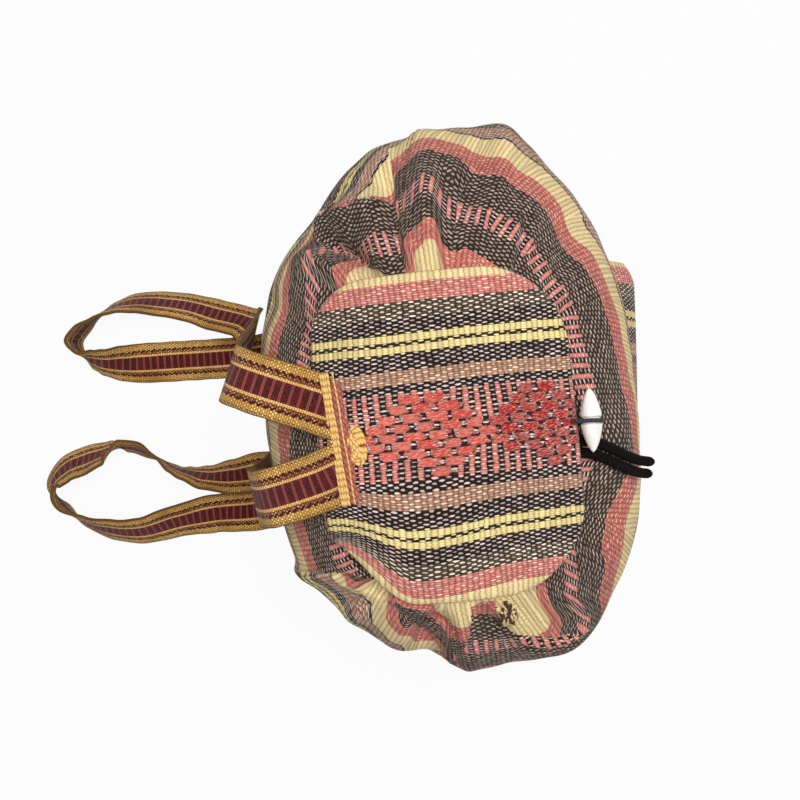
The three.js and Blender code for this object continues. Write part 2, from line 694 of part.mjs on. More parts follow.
// Loop from the top of the flap over the toggle's waist, round it and back under the flap
const around = TOGGLE_WAIST / 2 + LOOP_DIAMETER / 2 + GAP;
const loopRing = [82, 110, 140, 170, 200, 230, 260, 285].map((angle) => {
  const t = degrees(angle);
  return new THREE.Vector3(toggleX, toggleY + around * Math.cos(t), toggleZ + around * Math.sin(t));
});
const onFlap = (way) => {
  const y = flapTip.y + way;
  return new THREE.Vector3(toggleX - 0.5, y, flapTop(toggleX, y) + LOOP_DIAMETER / 2 + 2 * GAP);
};
const loopPoints = [
  onFlap(9),
  onFlap(5),
  onFlap(1.5).setZ(lerp(flapTip.z, toggleZ + around, 0.62)),
  ...loopRing,
  new THREE.Vector3(toggleX + 0.5, flapTip.y + 2, flapTip.z - CLOTH - LOOP_DIAMETER / 2 - 2),
];
add('toggle_loop', cordGeometry(loopPoints, LOOP_DIAMETER, 20, 8), 0x1c2426, 0.7);

// Front pocket: a puffed patch that is open at the top

function frontY(x, z) {
  const half = BODY_WIDTH / 2;
  const drop = Math.min(Math.max(1 - z / BELLY_HEIGHT, 0), 1);
  const share = Math.pow(1 - Math.pow(drop, WALL_ROUNDNESS), 1 / WALL_ROUNDNESS);
  const a = lerp(BASE_WIDTH / 2, half, share);
  const b = lerp(BASE_DEPTH, BODY_DEPTH, share) / 2;
  let reach = 1;
  for (let i = 0; i < 12; i += 1) {
    const across = Math.min(Math.abs(x) / (a * reach), 0.999);
    const angle = 360 - THREE.MathUtils.radToDeg(Math.acos(Math.sign(x) * across));
    reach = 1 + bulge(angle) * share * smooth(z, SLUMP_FOOT, BELLY_HEIGHT);
  }
  return BELLY_Y * share - b * reach * Math.sqrt(Math.max(1 - (x / (a * reach)) ** 2, 0));
}

function pocketFront(x, z) {
  const low = smooth(z, POCKET_BOTTOM, POCKET_TOP);
  const bow = 1 - ((2 * x) / POCKET_WIDTH) ** 2;
  const flat = frontMost - lerp(POCKET_PUFF, POCKET_MOUTH, low * low) - 1.5 * bow;
  return Math.min(flat, frontY(x, z) - CLOTH - 2.5 * bow);
}

function pocketPoint(u, v, target) {
  const boxy = (share) => Math.pow(Math.max(1 - Math.pow(Math.abs(share), 6), 0), 1 / 6);
  const across = Math.sin(Math.PI * (u - 0.5));
  const up = 1 - Math.cos((v * Math.PI) / 2);
  const x = (POCKET_WIDTH / 2) * across;
  const z = POCKET_BOTTOM + (POCKET_TOP - POCKET_BOTTOM) * up;
  const wall = frontY(x, z) - 5 * GAP;
  return target.set(x, lerp(wall, Math.min(pocketFront(x, z), wall - CLOTH), boxy(across) * boxy(1 - up)), z);
}
const pocketRows = [0, 0.04, 0.12, 0.24, 0.4, 0.58, 0.76, 0.9, 1];
const pocketColumns = [0, 0.012, 0.04, 0.1, 0.18, 0.28, 0.39, 0.5, 0.61, 0.72, 0.82, 0.9, 0.96, 0.988, 1];
add('front_pocket', sheet(pocketPoint, [pocketColumns, pocketRows], CLOTH), 0x7a5a4c, 0.95);

// Flap of the pocket: from the body, forward over the pocket's edge and down its front
function pocketFlapPoint(u, v, target) {
  const x = (u - 0.5) * (POCKET_WIDTH + 4);
  const edgeZ = POCKET_TOP + 2 * GAP;
  const front = (z) => Math.min(pocketFront(x, z), frontY(x, z) - CLOTH - 5 * GAP) - 6 * GAP;
  const over = 0.36;
  if (v < over) {
    const share = v / over;
    const rise = Math.min(POCKET_FLAP_RISE, BELLY_HEIGHT - edgeZ);
    const rootY = frontY(x, edgeZ + rise) - 1.5 * GAP;
    const level = Math.sin((share * Math.PI) / 2);
    return target.set(x, lerp(rootY, front(POCKET_TOP), level), edgeZ + rise * (1 - share));
  }
  const share = (v - over) / (1 - over);
  const z = edgeZ - share * POCKET_FLAP_DROP;
  const round = (POCKET_WIDTH / 2) * 0.12 * Math.max(share - 0.72, 0) * (2 * u - 1) ** 4;
  return target.set(x, front(Math.min(z, POCKET_TOP)), z + round);
}
const pocketFlapRows = [0, 0.12, 0.24, 0.33, 0.37, 0.44, 0.56, 0.7, 0.85, 1];
add('pocket_flap', sheet(pocketFlapPoint, [even(14), pocketFlapRows], CLOTH), 0x8a5a50, 0.95);

export default group;
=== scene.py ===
"""Drawstring backpack of striped hand-woven cloth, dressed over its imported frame.

Sizes are in millimetres until a mesh is made. X runs across the bag, the back with the straps is +Y,
the pocket is on -Y, and the bag stands on Z = 0.
"""
import logging
import math
from dataclasses import dataclass
from enum import Enum
from typing import Any, Callable

import bmesh
import bpy
import numpy as np
from mathutils import Matrix, Vector


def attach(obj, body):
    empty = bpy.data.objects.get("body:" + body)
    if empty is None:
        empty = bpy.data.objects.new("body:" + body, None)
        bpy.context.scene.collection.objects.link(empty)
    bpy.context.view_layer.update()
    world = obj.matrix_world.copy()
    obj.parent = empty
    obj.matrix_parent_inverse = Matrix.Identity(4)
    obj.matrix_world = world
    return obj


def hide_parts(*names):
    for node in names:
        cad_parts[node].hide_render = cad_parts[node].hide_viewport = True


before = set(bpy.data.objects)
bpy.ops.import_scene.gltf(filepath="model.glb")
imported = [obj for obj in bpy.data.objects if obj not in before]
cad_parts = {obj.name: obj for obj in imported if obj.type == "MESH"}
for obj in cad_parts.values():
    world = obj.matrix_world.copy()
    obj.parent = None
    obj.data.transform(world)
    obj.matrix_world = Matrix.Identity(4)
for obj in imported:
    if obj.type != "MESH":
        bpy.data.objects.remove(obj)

LOG = logging.getLogger("backpack")
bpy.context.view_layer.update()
METRES = 0.001
THREADS = "weave"
WELD = 1e-6
SIDES = ((1, "right"), (-1, "left"))

Array = np.ndarray
Colour = tuple[float, float, float, float]
Material = bpy.types.Material
Mesh = bmesh.types.BMesh


def tone(*display: int) -> Colour:
    """Linear colour with full alpha of the display values of red, green and blue, from 0 to 255."""
    shares = (value / 255.0 for value in display)
    return (*(s / 12.92 if s <= 0.04045 else ((s + 0.055) / 1.055) ** 2.4 for s in shares), 1.0)


def bell(value: Array) -> Array:
    """Smooth bump that is 1 at zero and falls away on both sides."""
    return np.exp(-value * value)


def smoothstep(value: Array, low: float, high: float) -> Array:
    """Smooth rise from 0 at low to 1 at high."""
    share = np.clip((value - low) / (high - low), 0.0, 1.0)
    return share * share * (3.0 - 2.0 * share)


def lerp(first: Any, last: Any, share: Any) -> Any:
    """Value at a share of the way from the first to the last."""
    return first + (last - first) * share


def turn_between(angle: Array, at: float) -> Array:
    """Signed turn in degrees from one heading to another, from -180 to 180."""
    return np.mod(angle - at + 180.0, 360.0) - 180.0


def unit(vectors: Array) -> Array:
    """Vectors of the same headings with a length of one."""
    return vectors / np.maximum(np.linalg.norm(vectors, axis=-1, keepdims=True), 1e-9)


def lengths(points: Array, axis: int = 0) -> Array:
    """Length of the way from the first point of a line, or of each line of a grid along an axis."""
    steps = np.linalg.norm(np.diff(points, axis=axis), axis=-1)
    return np.concatenate([np.zeros_like(np.take(steps, [0], axis)), np.cumsum(steps, axis)], axis)


def over_grid(rows: Array, columns: Array) -> tuple[Array, Array]:
    """Row's value and column's value at every point of a grid."""
    return tuple(np.meshgrid(rows, columns, indexing="ij"))


# Shader nodes


def arithmetic(operation: str, flipped: bool = False) -> Callable[..., "Wire"]:
    """Makes one of Wire's arithmetic methods.

    Args:
        operation: Kind of Math node.
        flipped: Whether the other value comes first.

    Returns:
        The method.
    """

    def apply(self: "Wire", other: "Value" = 0.0) -> "Wire":
        """Adds the Math node."""
        pair = (other, self) if flipped else (self, other)
        return self.shading.math(operation, *pair)

    return apply


class Wire:
    """Output of a node, with arithmetic that adds Math nodes. A remainder is never negative."""

    def __init__(self, shading: "Shading", socket: bpy.types.NodeSocket) -> None:
        """Wraps one output socket."""
        self.shading = shading
        self.socket = socket

    __add__ = arithmetic("ADD")
    __radd__ = arithmetic("ADD", True)
    __sub__ = arithmetic("SUBTRACT")
    __rsub__ = arithmetic("SUBTRACT", True)
    __mul__ = arithmetic("MULTIPLY")
    __rmul__ = arithmetic("MULTIPLY", True)
    __truediv__ = arithmetic("DIVIDE")
    __pow__ = arithmetic("POWER")
    __mod__ = arithmetic("FLOORED_MODULO")
    __lt__ = arithmetic("LESS_THAN")
    __gt__ = arithmetic("GREATER_THAN")
    __abs__ = arithmetic("ABSOLUTE")
    floor = arithmetic("FLOOR")

    def clip(self) -> "Wire":
        """Value held between 0 and 1."""
        return self.shading.math("MINIMUM", self.shading.math("MAXIMUM", self, 0.0), 1.0)

    def hump(self) -> "Wire":
        """Rounded rise that is 0 at both ends of 0..1 and 1 in the middle."""
        return 4.0 * (self * (1.0 - self))

    def beside(self, output: str | int) -> "Wire":
        """Another output of the same node."""
        return Wire(self.shading, self.socket.node.outputs[output])


Value = Wire | float
Place = Wire | tuple[Value, Value, Value]


@dataclass(frozen=True)
class Ramp:
    """Stops of a colour ramp."""

    stops: tuple[tuple[float, Colour], ...]
    interpolation: str = "CONSTANT"

    def fill(self, ramp: bpy.types.ColorRamp) -> None:
        """Sets the stops on a node's ramp.

        Args:
            ramp: Ramp of a new node.
        """
        ramp.interpolation = self.interpolation
        while len(ramp.elements) > 1:
            ramp.elements.remove(ramp.elements[-1])
        ramp.elements[0].position = self.stops[0][0]
        ramp.elements[0].color = self.stops[0][1]
        for position, colour in self.stops[1:]:
            ramp.elements.new(position).color = colour


class Shading:
    """Node tree of one material, or of the world."""

    def __init__(self, name: str, world: bpy.types.World | None = None) -> None:
        """Starts an empty material, or empties the nodes of a world.

        Args:
            name: Name of the material.
            world: World to use in place of a material.
        """
        self.material = world or bpy.data.materials.new(name)
        self.material.use_nodes = True
        self.tree = self.material.node_tree
        self.tree.nodes.clear()

    def node(self, kind: str, settings: dict[str, Any], sockets: dict[Any, Any]) -> bpy.types.Node:
        """Adds one node.

        Args:
            kind: Type name of the node.
            settings: Properties, which are set first; a Ramp fills the node's colour ramp.
            sockets: Values or wires of its inputs, by name or number.

        Returns:
            The node.
        """
        made = self.tree.nodes.new(kind)
        for key, value in settings.items():
            if isinstance(value, Ramp):
                value.fill(made.color_ramp)
            else:
                setattr(made, key, value)
        for key, value in sockets.items():
            if isinstance(value, Wire):
                self.tree.links.new(value.socket, made.inputs[key])
            else:
                made.inputs[key].default_value = value
        return made

    def wire(self, kind: str, settings: dict[str, Any], sockets: dict[Any, Any],
             output: str | int = 0) -> Wire:
        """Adds one node as node() does, and gives one of its outputs."""
        return Wire(self, self.node(kind, settings, sockets).outputs[output])

    def math(self, operation: str, first: Value, second: Value) -> Wire:
        """Result of a Math node."""
        return self.wire("ShaderNodeMath", {"operation": operation}, {0: first, 1: second})

    def vector(self, place: Place) -> Wire:
        """Vector of three values, or the vector itself."""
        if isinstance(place, Wire):
            return place
        return self.wire("ShaderNodeCombineXYZ", {}, dict(enumerate(place)))

    def threads(self) -> tuple[Wire, Wire]:
        """Finds a point's place on the piece's own map.

        Returns:
            Its place along and across the yarns.
        """
        spot = self.wire("ShaderNodeUVMap", {"uv_map": THREADS}, {})
        along = self.wire("ShaderNodeSeparateXYZ", {}, {0: spot})
        return along, along.beside(1)

    def place(self) -> Wire:
        """Place of a point in the object's own frame."""
        return self.wire("ShaderNodeTexCoord", {}, {}, "Object")

    def seen(self) -> Wire:
        """One for rays that show the backdrop: from the camera, off a gloss or through glass."""
        path = self.wire("ShaderNodeLightPath", {}, {}, "Is Camera Ray")
        return (path + path.beside("Is Glossy Ray") + path.beside("Is Transmission Ray")).clip()

    def noise(self, place: Place, scale: float, detail: float) -> Wire:
        """Cloudy value around 0.5."""
        sockets = {"Vector": self.vector(place), "Scale": scale, "Detail": detail}
        return self.wire("ShaderNodeTexNoise", {}, sockets)

    def sway(self, x: Wire, y: Wire, per_x: float, per_y: float, seed: float, detail: float = 2.0) -> Wire:
        """Slow wander around 0 over the threads."""
        return self.noise((x * per_x, y * per_y, seed), 1.0, detail) - 0.5

    def chance(self, place: Place) -> Wire:
        """Value from 0 to 1 that differs from cell to cell."""
        return self.wire("ShaderNodeTexWhiteNoise", {"noise_dimensions": "3D"}, {0: self.vector(place)})

    def rise(self, value: Value, low: float, high: float) -> Wire:
        """Smooth rise from 0 at low to 1 at high."""
        sockets = {"Value": value, "From Min": low, "From Max": high}
        return self.wire("ShaderNodeMapRange", {"interpolation_type": "SMOOTHSTEP"}, sockets)

    def fall(self, value: Value, low: float, high: float) -> Wire:
        """Smooth fall from 1 at low to 0 at high."""
        return 1.0 - self.rise(value, low, high)

    def ramp(self, value: Value, ramp: Ramp) -> tuple[Wire, Wire]:
        """Colour and alpha of a ramp at a value."""
        colour = self.wire("ShaderNodeValToRGB", {"ramp": ramp}, {0: value})
        return colour, colour.beside(1)

    def mix(self, share: Value, first: Any, last: Any, blend: str = "MIX") -> Wire:
        """Colour at a share of the way from the first to the last."""
        settings = {"data_type": "RGBA", "blend_type": blend}
        return self.wire("ShaderNodeMix", settings, {0: share, 6: first, 7: last}, 2)

    def shade(self, colour: Any, light: Wire) -> Wire:
        """Colour made lighter or darker by a value."""
        return self.mix(1.0, colour, light, "MULTIPLY")

    def bump(self, height: Wire, depth: float) -> Wire:
        """Normal of a surface with fine relief of the given depth in millimetres."""
        sockets = {"Strength": 0.9, "Distance": depth * METRES, "Height": height}
        return self.wire("ShaderNodeBump", {}, sockets)

    def blend(self, share: Wire, first: Wire, last: Wire) -> Wire:
        """Mix of two shaders."""
        return self.wire("ShaderNodeMixShader", {}, {0: share, 1: first, 2: last})

    def finish(self, sockets: dict[str, Any]) -> Material:
        """Ends the tree in a Principled shader.

        Args:
            sockets: Values or wires of the shader's inputs.

        Returns:
            The material.
        """
        surface = self.wire("ShaderNodeBsdfPrincipled", {}, sockets)
        self.node("ShaderNodeOutputMaterial", {}, {"Surface": surface})
        return self.material


# Finishes


class Weave(Enum):
    """How the yarns of a stripe show."""

    PLAIN = "plain"
    RIBBED = "ribbed"
    MIXED = "mixed"


@dataclass(frozen=True)
class Yarn:
    """Colours of a stripe: its warp along the stripe and the weft that crosses it."""

    warp: Colour
    weft: Colour
    weave: Weave = Weave.PLAIN


BLACK = Yarn(tone(32, 22, 22), tone(232, 206, 194))
OLIVE = Yarn(tone(82, 66, 50), tone(255, 236, 214))
ROSE = Yarn(tone(222, 114, 98), tone(240, 184, 166))
# Olive of the body's walls, kept darker than the flap's OLIVE as painted shade of the walls that slope away
# from the light.
SHADED_OLIVE = Yarn(tone(52, 40, 32), tone(200, 172, 150))
PINK = Yarn(tone(232, 128, 114), tone(252, 208, 194))
CREAM = Yarn(tone(252, 226, 168), tone(238, 208, 146), Weave.RIBBED)
TAUPE = Yarn(tone(190, 136, 106), tone(252, 224, 200))
YELLOW = Yarn(tone(250, 228, 160), tone(242, 214, 142), Weave.RIBBED)
EDGED = Yarn(tone(44, 32, 26), tone(255, 234, 166))
PAIRED = Yarn(tone(232, 128, 114), tone(252, 208, 194), Weave.MIXED)


@dataclass(frozen=True)
class Stripe:
    """One stripe of a cloth, so many warp ends wide."""

    yarn: Yarn
    rows: int


DOUBLE_LINE = (Stripe(EDGED, 1), Stripe(YELLOW, 3), Stripe(EDGED, 2), Stripe(YELLOW, 3), Stripe(EDGED, 1))

BODY_STRIPES = (
    Stripe(CREAM, 16), Stripe(ROSE, 10), Stripe(SHADED_OLIVE, 13), Stripe(PAIRED, 10), Stripe(SHADED_OLIVE, 18),
    Stripe(ROSE, 11), Stripe(CREAM, 13), Stripe(BLACK, 2), Stripe(TAUPE, 11), Stripe(BLACK, 6),
    *DOUBLE_LINE, Stripe(SHADED_OLIVE, 13), Stripe(PAIRED, 30), Stripe(BLACK, 4), Stripe(TAUPE, 6),
    Stripe(BLACK, 7), *DOUBLE_LINE, Stripe(SHADED_OLIVE, 13), Stripe(ROSE, 8), Stripe(CREAM, 10),
    Stripe(ROSE, 8), Stripe(SHADED_OLIVE, 40),
)

FLAP_STRIPES = (
    Stripe(PAIRED, 19), Stripe(BLACK, 4), Stripe(TAUPE, 6), Stripe(BLACK, 7), *DOUBLE_LINE,
    Stripe(BLACK, 6), Stripe(OLIVE, 7), Stripe(PINK, 8), Stripe(CREAM, 12),
)

POCKET_STRIPES = (
    *FLAP_STRIPES[:-1], Stripe(CREAM, 6), Stripe(PINK, 7), Stripe(OLIVE, 9), Stripe(BLACK, 9),
)

BASE_STRIPES = (Stripe(OLIVE, 20), Stripe(BLACK, 400))


@dataclass(frozen=True)
class Diamonds:
    """Brocade diamonds of long floats, in a row along the middle of a cloth. Lengths are in yarns."""

    first: float
    brick: float = 4.0
    period: float = 20.0
    half_length: float = 12.4
    half_height: float = 19.6
    start: float = 3.5
    light: Colour = tone(224, 90, 76)
    deep: Colour = tone(164, 26, 28)
    pale: Colour = tone(252, 196, 178)


@dataclass
class Cell:
    """Values of the weave cell that a point of cloth lies in."""

    pick: Wire
    end: Wire
    along: Wire
    across: Wire
    chance: Wire
    oval: Wire


@dataclass(frozen=True)
class StripedCloth:
    """Heavy plain-woven cotton: one cell of the map is one pick long and one warp end wide."""

    name: str
    stripes: tuple[Stripe, ...]
    centre: float | None = None
    diamonds: Diamonds | None = None
    seed: float = 0.0

    def ramps(self) -> tuple[Ramp, Ramp, int]:
        """Stops for the warp and the weft, whose alphas mark mixed and ribbed stripes.

        Returns:
            The warp's ramp, the weft's ramp and the number of rows.
        """
        total = sum(stripe.rows for stripe in self.stripes[:-1]) + 2
        row = 0
        warp: list[tuple[float, Colour]] = []
        weft: list[tuple[float, Colour]] = []
        for stripe in self.stripes:
            yarn = stripe.yarn
            mixed = 0.0 if yarn.weave is Weave.MIXED else 1.0
            ribbed = 0.0 if yarn.weave is Weave.RIBBED else 1.0
            warp.append((row / total, (*yarn.warp[:3], mixed)))
            weft.append((row / total, (*yarn.weft[:3], ribbed)))
            row += stripe.rows
        return Ramp(tuple(warp)), Ramp(tuple(weft)), total

    def cell(self, shade: Shading) -> Cell:
        """Finds a point's weave cell, on yarns that wander as hand-woven ones do.

        Args:
            shade: Material being made.

        Returns:
            The cell's values.
        """
        x, y = shade.threads()
        sway = shade.sway(x, y, 0.06, 0.022, self.seed)
        drift = shade.sway(x, y, 0.05, 0.03, self.seed + 7.0)
        loose = shade.sway(x, y, 0.8, 0.7, self.seed + 4.0)
        slack = shade.sway(x, y, 0.7, 0.8, self.seed + 5.0)
        x = x + sway * 2.2 + loose * 0.75
        y = y + drift * 2.6 + slack * 0.6
        pick = x.floor()
        end = y.floor()
        along = x - pick
        across = y - end
        chance = shade.chance((pick, end, self.seed))
        other = shade.chance((end, pick, self.seed + 1.0))
        wide = (along - 0.5 + 0.2 * (other - 0.5)) / (0.38 + 0.2 * chance)
        high = (across - 0.5 + 0.14 * (chance - 0.5)) / (0.36 + 0.14 * other)
        return Cell(pick, end, along, across, chance, wide * wide + high * high)

    def yarns(self, shade: Shading, cell: Cell, column: Wire) -> tuple[Wire, Wire, Wire]:
        """Finds the colours of a cell's yarns, which change from pick to pick in a mixed stripe.

        Args:
            shade: Material being made.
            cell: Weave cell of the point.
            column: 0 and 1 by turns from pick to pick.

        Returns:
            Colours of the warp and the weft, and 0 in a ribbed stripe or 1 in another.
        """
        warp_ramp, weft_ramp, total = self.ramps()
        row = cell.end if self.centre is None else abs(cell.end + (0.5 - self.centre)).floor()
        row = row + 0.95
        warp, plain_warp = shade.ramp(row / total, warp_ramp)
        weft, plain_weft = shade.ramp(row / total, weft_ramp)
        mixed = 1.0 - plain_warp
        warp = shade.mix(mixed, warp, shade.mix(column, PINK.warp, BLACK.warp))
        weft = shade.mix(mixed, weft, shade.mix(column, PINK.weft, BLACK.weft))
        return warp, weft, plain_weft

    def dress(self) -> Material:
        """Makes the material.

        Returns:
            The cloth's material, which reads the thread map of the piece.
        """
        shade = Shading(self.name)
        cell = self.cell(shade)
        column = cell.pick % 2.0
        odd = (cell.pick + cell.end) % 2.0
        warp, weft, plain_weft = self.yarns(shade, cell, column)
        ribbed = 1.0 - plain_weft
        crest = cell.along.hump()
        body = cell.across.hump()
        per_end = shade.chance((cell.end, self.seed, 3.5))
        per_pick = shade.chance((cell.pick, self.seed, 9.5))
        dash = odd * shade.fall(cell.oval, 0.55, 1.2)
        warp_light = (0.55 + 0.45 * crest) * (0.7 + 0.3 * body) * (1.0 - 0.35 * odd) * (0.8 + 0.4 * per_end)
        again = shade.chance((cell.end, cell.pick, self.seed + 11.0))
        weft_light = (1.0 - 0.3 * cell.oval.clip()) * (0.55 + 0.6 * cell.chance ** 0.7)
        weft_light = weft_light * (0.82 + 0.25 * again)
        plain = shade.mix(dash, shade.shade(warp, warp_light), shade.shade(weft, weft_light))
        knot = ((cell.across + 0.5 * column) % 1.0).hump()
        rib_light = (0.3 + 0.7 * crest ** 0.45) * (0.84 + 0.22 * per_pick) * (0.72 + 0.32 * knot ** 0.6)
        ribs = shade.shade(shade.mix(column * 0.6, warp, weft), rib_light)
        colour = shade.mix(ribbed, plain, ribs)
        height = dash * (1.1 - 0.5 * cell.oval) + (1.0 - dash) * (0.2 + 0.5 * crest * (1.0 - odd))
        height = height * plain_weft + (0.1 + 0.6 * crest + 0.3 * knot) * ribbed
        if self.diamonds is not None:
            colour, height = self.brocade(shade, cell, colour, height)
        x, y = shade.threads()
        fibre = shade.noise((x * 2.0, y * 5.0, self.seed), 1.6, 2.0)
        cloud = shade.noise((x * 0.05, y * 0.02, self.seed + 3.0), 1.0, 3.0)
        colour = shade.shade(colour, (0.86 + 0.28 * fibre) * (0.84 + 0.32 * cloud))
        return shade.finish({
            "Base Color": colour,
            "Roughness": 0.96 - 0.14 * dash,
            "Specular IOR Level": 0.2,
            "Sheen Weight": 0.08,
            "Sheen Roughness": 0.6,
            "Normal": shade.bump(height + 0.3 * fibre, 0.75),
        })

    def red_yarn(self, shade: Shading, cell: Cell, block: Wire, pillow: Wire) -> Wire:
        """Colours the diamonds' floats, deeper past the first diamond, paler where the yarn frays and with
        painted shade towards each float's edges.

        Args:
            shade: Material being made.
            cell: Weave cell of the point.
            block: Chance of the brick.
            pillow: Swell of the float, 1 at its middle.

        Returns:
            Colour of the floats.
        """
        design = self.diamonds
        x, y = shade.threads()
        fibre = shade.noise((x * 0.8, y * 4.0, self.seed + 5.0), 1.3, 3.0)
        streak = shade.noise((x * 0.8 + y * 0.6, y * 2.4 - x * 1.3, self.seed + 6.0), 1.0, 3.0)
        deeper = shade.rise(cell.pick, design.first + 6.0, design.first + 14.0)
        red = shade.mix(deeper, design.light, design.deep)
        red = shade.mix(shade.rise(block, 0.5, 1.0) * 0.5, red, design.deep)
        fringe = shade.fall(0.5 * pillow + 3.0 * (streak - 0.5) + 0.4 * (block - 0.5), 0.0, 0.55)
        red = shade.mix(fringe * (0.35 + 0.5 * block), red, design.pale)
        # pillow paints shade: each float is darker towards its edges, where its swell turns from the light.
        return shade.shade(red, (0.42 + 0.62 * pillow) * (0.4 + 1.1 * fibre) * (0.84 + 0.24 * block))

    def brocade(self, shade: Shading, cell: Cell, colour: Wire, height: Wire) -> tuple[Wire, Wire]:
        """Lays the diamonds' floats over the ground, in bricks with ties between them.

        Args:
            shade: Material being made.
            cell: Weave cell of the point.
            colour: Colour of the ground.
            height: Relief of the ground.

        Returns:
            Colour and relief with the diamonds.
        """
        design = self.diamonds
        size = design.brick
        level = cell.end - (self.centre or 0.0) + size / 2
        group = (level / size).floor()
        part = level - group * size
        shift = (group % 2.0) * (size / 2)
        moved = cell.pick + shift
        brick = (moved / size).floor()
        step = moved - brick * size
        middle = brick * size + 1.5 - shift
        away = abs((middle - (design.first - design.period / 2)) % design.period - design.period / 2)
        reach = away / design.half_length + abs(group * size - 0.5) / design.half_height
        inside = (reach < 1.0) * (cell.pick > design.start)
        block = shade.chance((brick, group, self.seed + 8.0))
        x, y = shade.threads()
        bend = shade.sway(x, y, 0.8, 0.7, self.seed + 9.0, 3.0)
        lean = shade.sway(x, y, 0.7, 0.8, self.seed + 10.0, 3.0)
        wide = (step + cell.along + 4.0 * bend - 1.6) / (1.4 + 0.6 * block)
        high = (part + cell.across + 5.0 * lean - 1.9) / (2.1 + 0.7 * cell.chance)
        oval = wide * wide + high * high
        pillow = (1.0 - 0.6 * oval).clip()
        floats = shade.fall(oval + 0.5 * (cell.chance - 0.5), 0.9, 1.3)
        line = (step < 2.5) * (part > 2.5)
        tie_dash = shade.fall(cell.oval, 0.5, 1.1) * (abs(part - 1.5) < 1.0) * (cell.chance > 0.35)
        tie = shade.mix(tie_dash, BLACK.warp, BLACK.weft)
        thread = shade.mix(shade.rise(cell.chance, 0.25, 0.5), design.deep, design.pale)
        # The pale thread is painted darker towards its sides as shade of its rounding, with random tone from
        # cell to cell.
        pale = shade.shade(thread, (0.35 + 0.65 * cell.across.hump()) * (0.5 + 0.6 * cell.chance))
        red = self.red_yarn(shade, cell, block, pillow)
        laid = shade.mix(floats, shade.mix(line, tie, pale), red)
        laid_height = floats * (0.35 + 1.3 * pillow) + (1.0 - floats) * 0.3
        return shade.mix(inside, colour, laid), height * (1.0 - inside) + laid_height * inside


@dataclass(frozen=True)
class BeltWeave:
    """Belt-woven webbing on a map in millimetres: maroon bars between gold sides, with thin zigzag lines."""

    name: str = "belt_webbing"
    gold: Colour = tone(186, 132, 60)
    gold_dot: Colour = tone(255, 222, 134)
    edge_line: Colour = tone(116, 78, 34)
    dark: Colour = tone(44, 16, 14)
    rose: Colour = tone(224, 172, 104)
    orange: Colour = tone(156, 70, 42)
    maroon: Colour = tone(86, 16, 20)
    bar: Colour = tone(164, 78, 66)
    pick: float = 1.4
    end: float = 1.15
    bar_pitch: float = 5.6
    zig_pitch: float = 4.2
    middle_half: float = 5.8
    orange_from: float = 7.4
    gold_from: float = 11.6
    line_from: float = 14.9
    line_to: float = 15.5
    square_half: float = 4.6
    step_at: float = 8.2
    wave_at: float = 10.2
    border: float = 16.4
    span: float = 20.0

    def ground(self) -> Ramp:
        """Gives the stops from the middle of the webbing to its border.

        Returns:
            The ramp over the span.
        """
        bands = (
            (0.0, self.maroon), (self.middle_half, self.rose), (self.orange_from, self.orange),
            (self.gold_from, self.gold), (self.line_from, self.edge_line), (self.line_to, self.gold),
            (self.border, self.edge_line),
        )
        return Ramp(tuple((out / self.span, colour) for out, colour in bands))

    def dress(self) -> Material:
        """Makes the material.

        Returns:
            The webbing's material, which reads the thread map of the piece.
        """
        shade = Shading(self.name)
        x, y = shade.threads()
        wander = shade.sway(x, y, 0.05, 0.02, 1.0)
        x = x + wander * 2.0
        out = abs(y)
        pick = (x / self.pick).floor()
        end = (out / self.end).floor()
        along = x / self.pick - pick
        across = out / self.end - end
        odd = (pick + end) % 2.0
        chance = shade.chance((pick, end, 2.0))
        crest = along.hump()
        dot = odd * (crest ** 0.7) * (across.hump() ** 0.5)
        wear = shade.noise((x * 0.04, y * 0.05, 4.0), 1.0, 3.0)
        bars = shade.rise(abs((x / self.bar_pitch) % 1.0 - 0.5), 0.33, 0.4)
        centre = shade.mix((bars * (0.35 + 0.8 * wear)).clip(), self.maroon, self.bar)
        centre = shade.mix(dot * chance * 0.45, centre, self.bar)
        ground, _ = shade.ramp(out / self.span, self.ground())
        brighter = (dot * (0.3 + 1.0 * chance) * shade.rise(wear, 0.2, 0.6) * (out < self.border)).clip()
        sides = shade.mix(brighter, ground, self.gold_dot)
        colour = shade.mix(out < self.middle_half, sides, centre)
        zig = abs((x / self.zig_pitch) % 1.0 - 0.5) * 4.0 - 1.0
        wave = abs(out - self.wave_at + zig * 0.75)
        step = abs(out - self.step_at + zig * 0.3)
        colour = shade.mix(shade.fall(step, 0.3, 0.7) * 0.6, colour, self.dark)
        dashed = 0.72 + 0.28 * ((pick % 3.0) < 1.5)
        colour = shade.mix(shade.fall(wave, 0.65, 1.15) * dashed, colour, self.dark)
        square = (out < self.square_half) * (1.0 - bars) * shade.rise(chance, 0.4, 0.7)
        colour = shade.mix(square * 0.75, colour, self.dark)
        light = (0.6 + 0.46 * crest) * (0.8 + 0.28 * across.hump()) * (0.74 + 0.5 * wear)
        return shade.finish({
            "Base Color": shade.shade(colour, light),
            "Roughness": 0.92 - 0.12 * dot,
            "Specular IOR Level": 0.25,
            "Sheen Weight": 0.08,
            "Normal": shade.bump(crest * 0.6 + dot * 0.5, 0.5),
        })


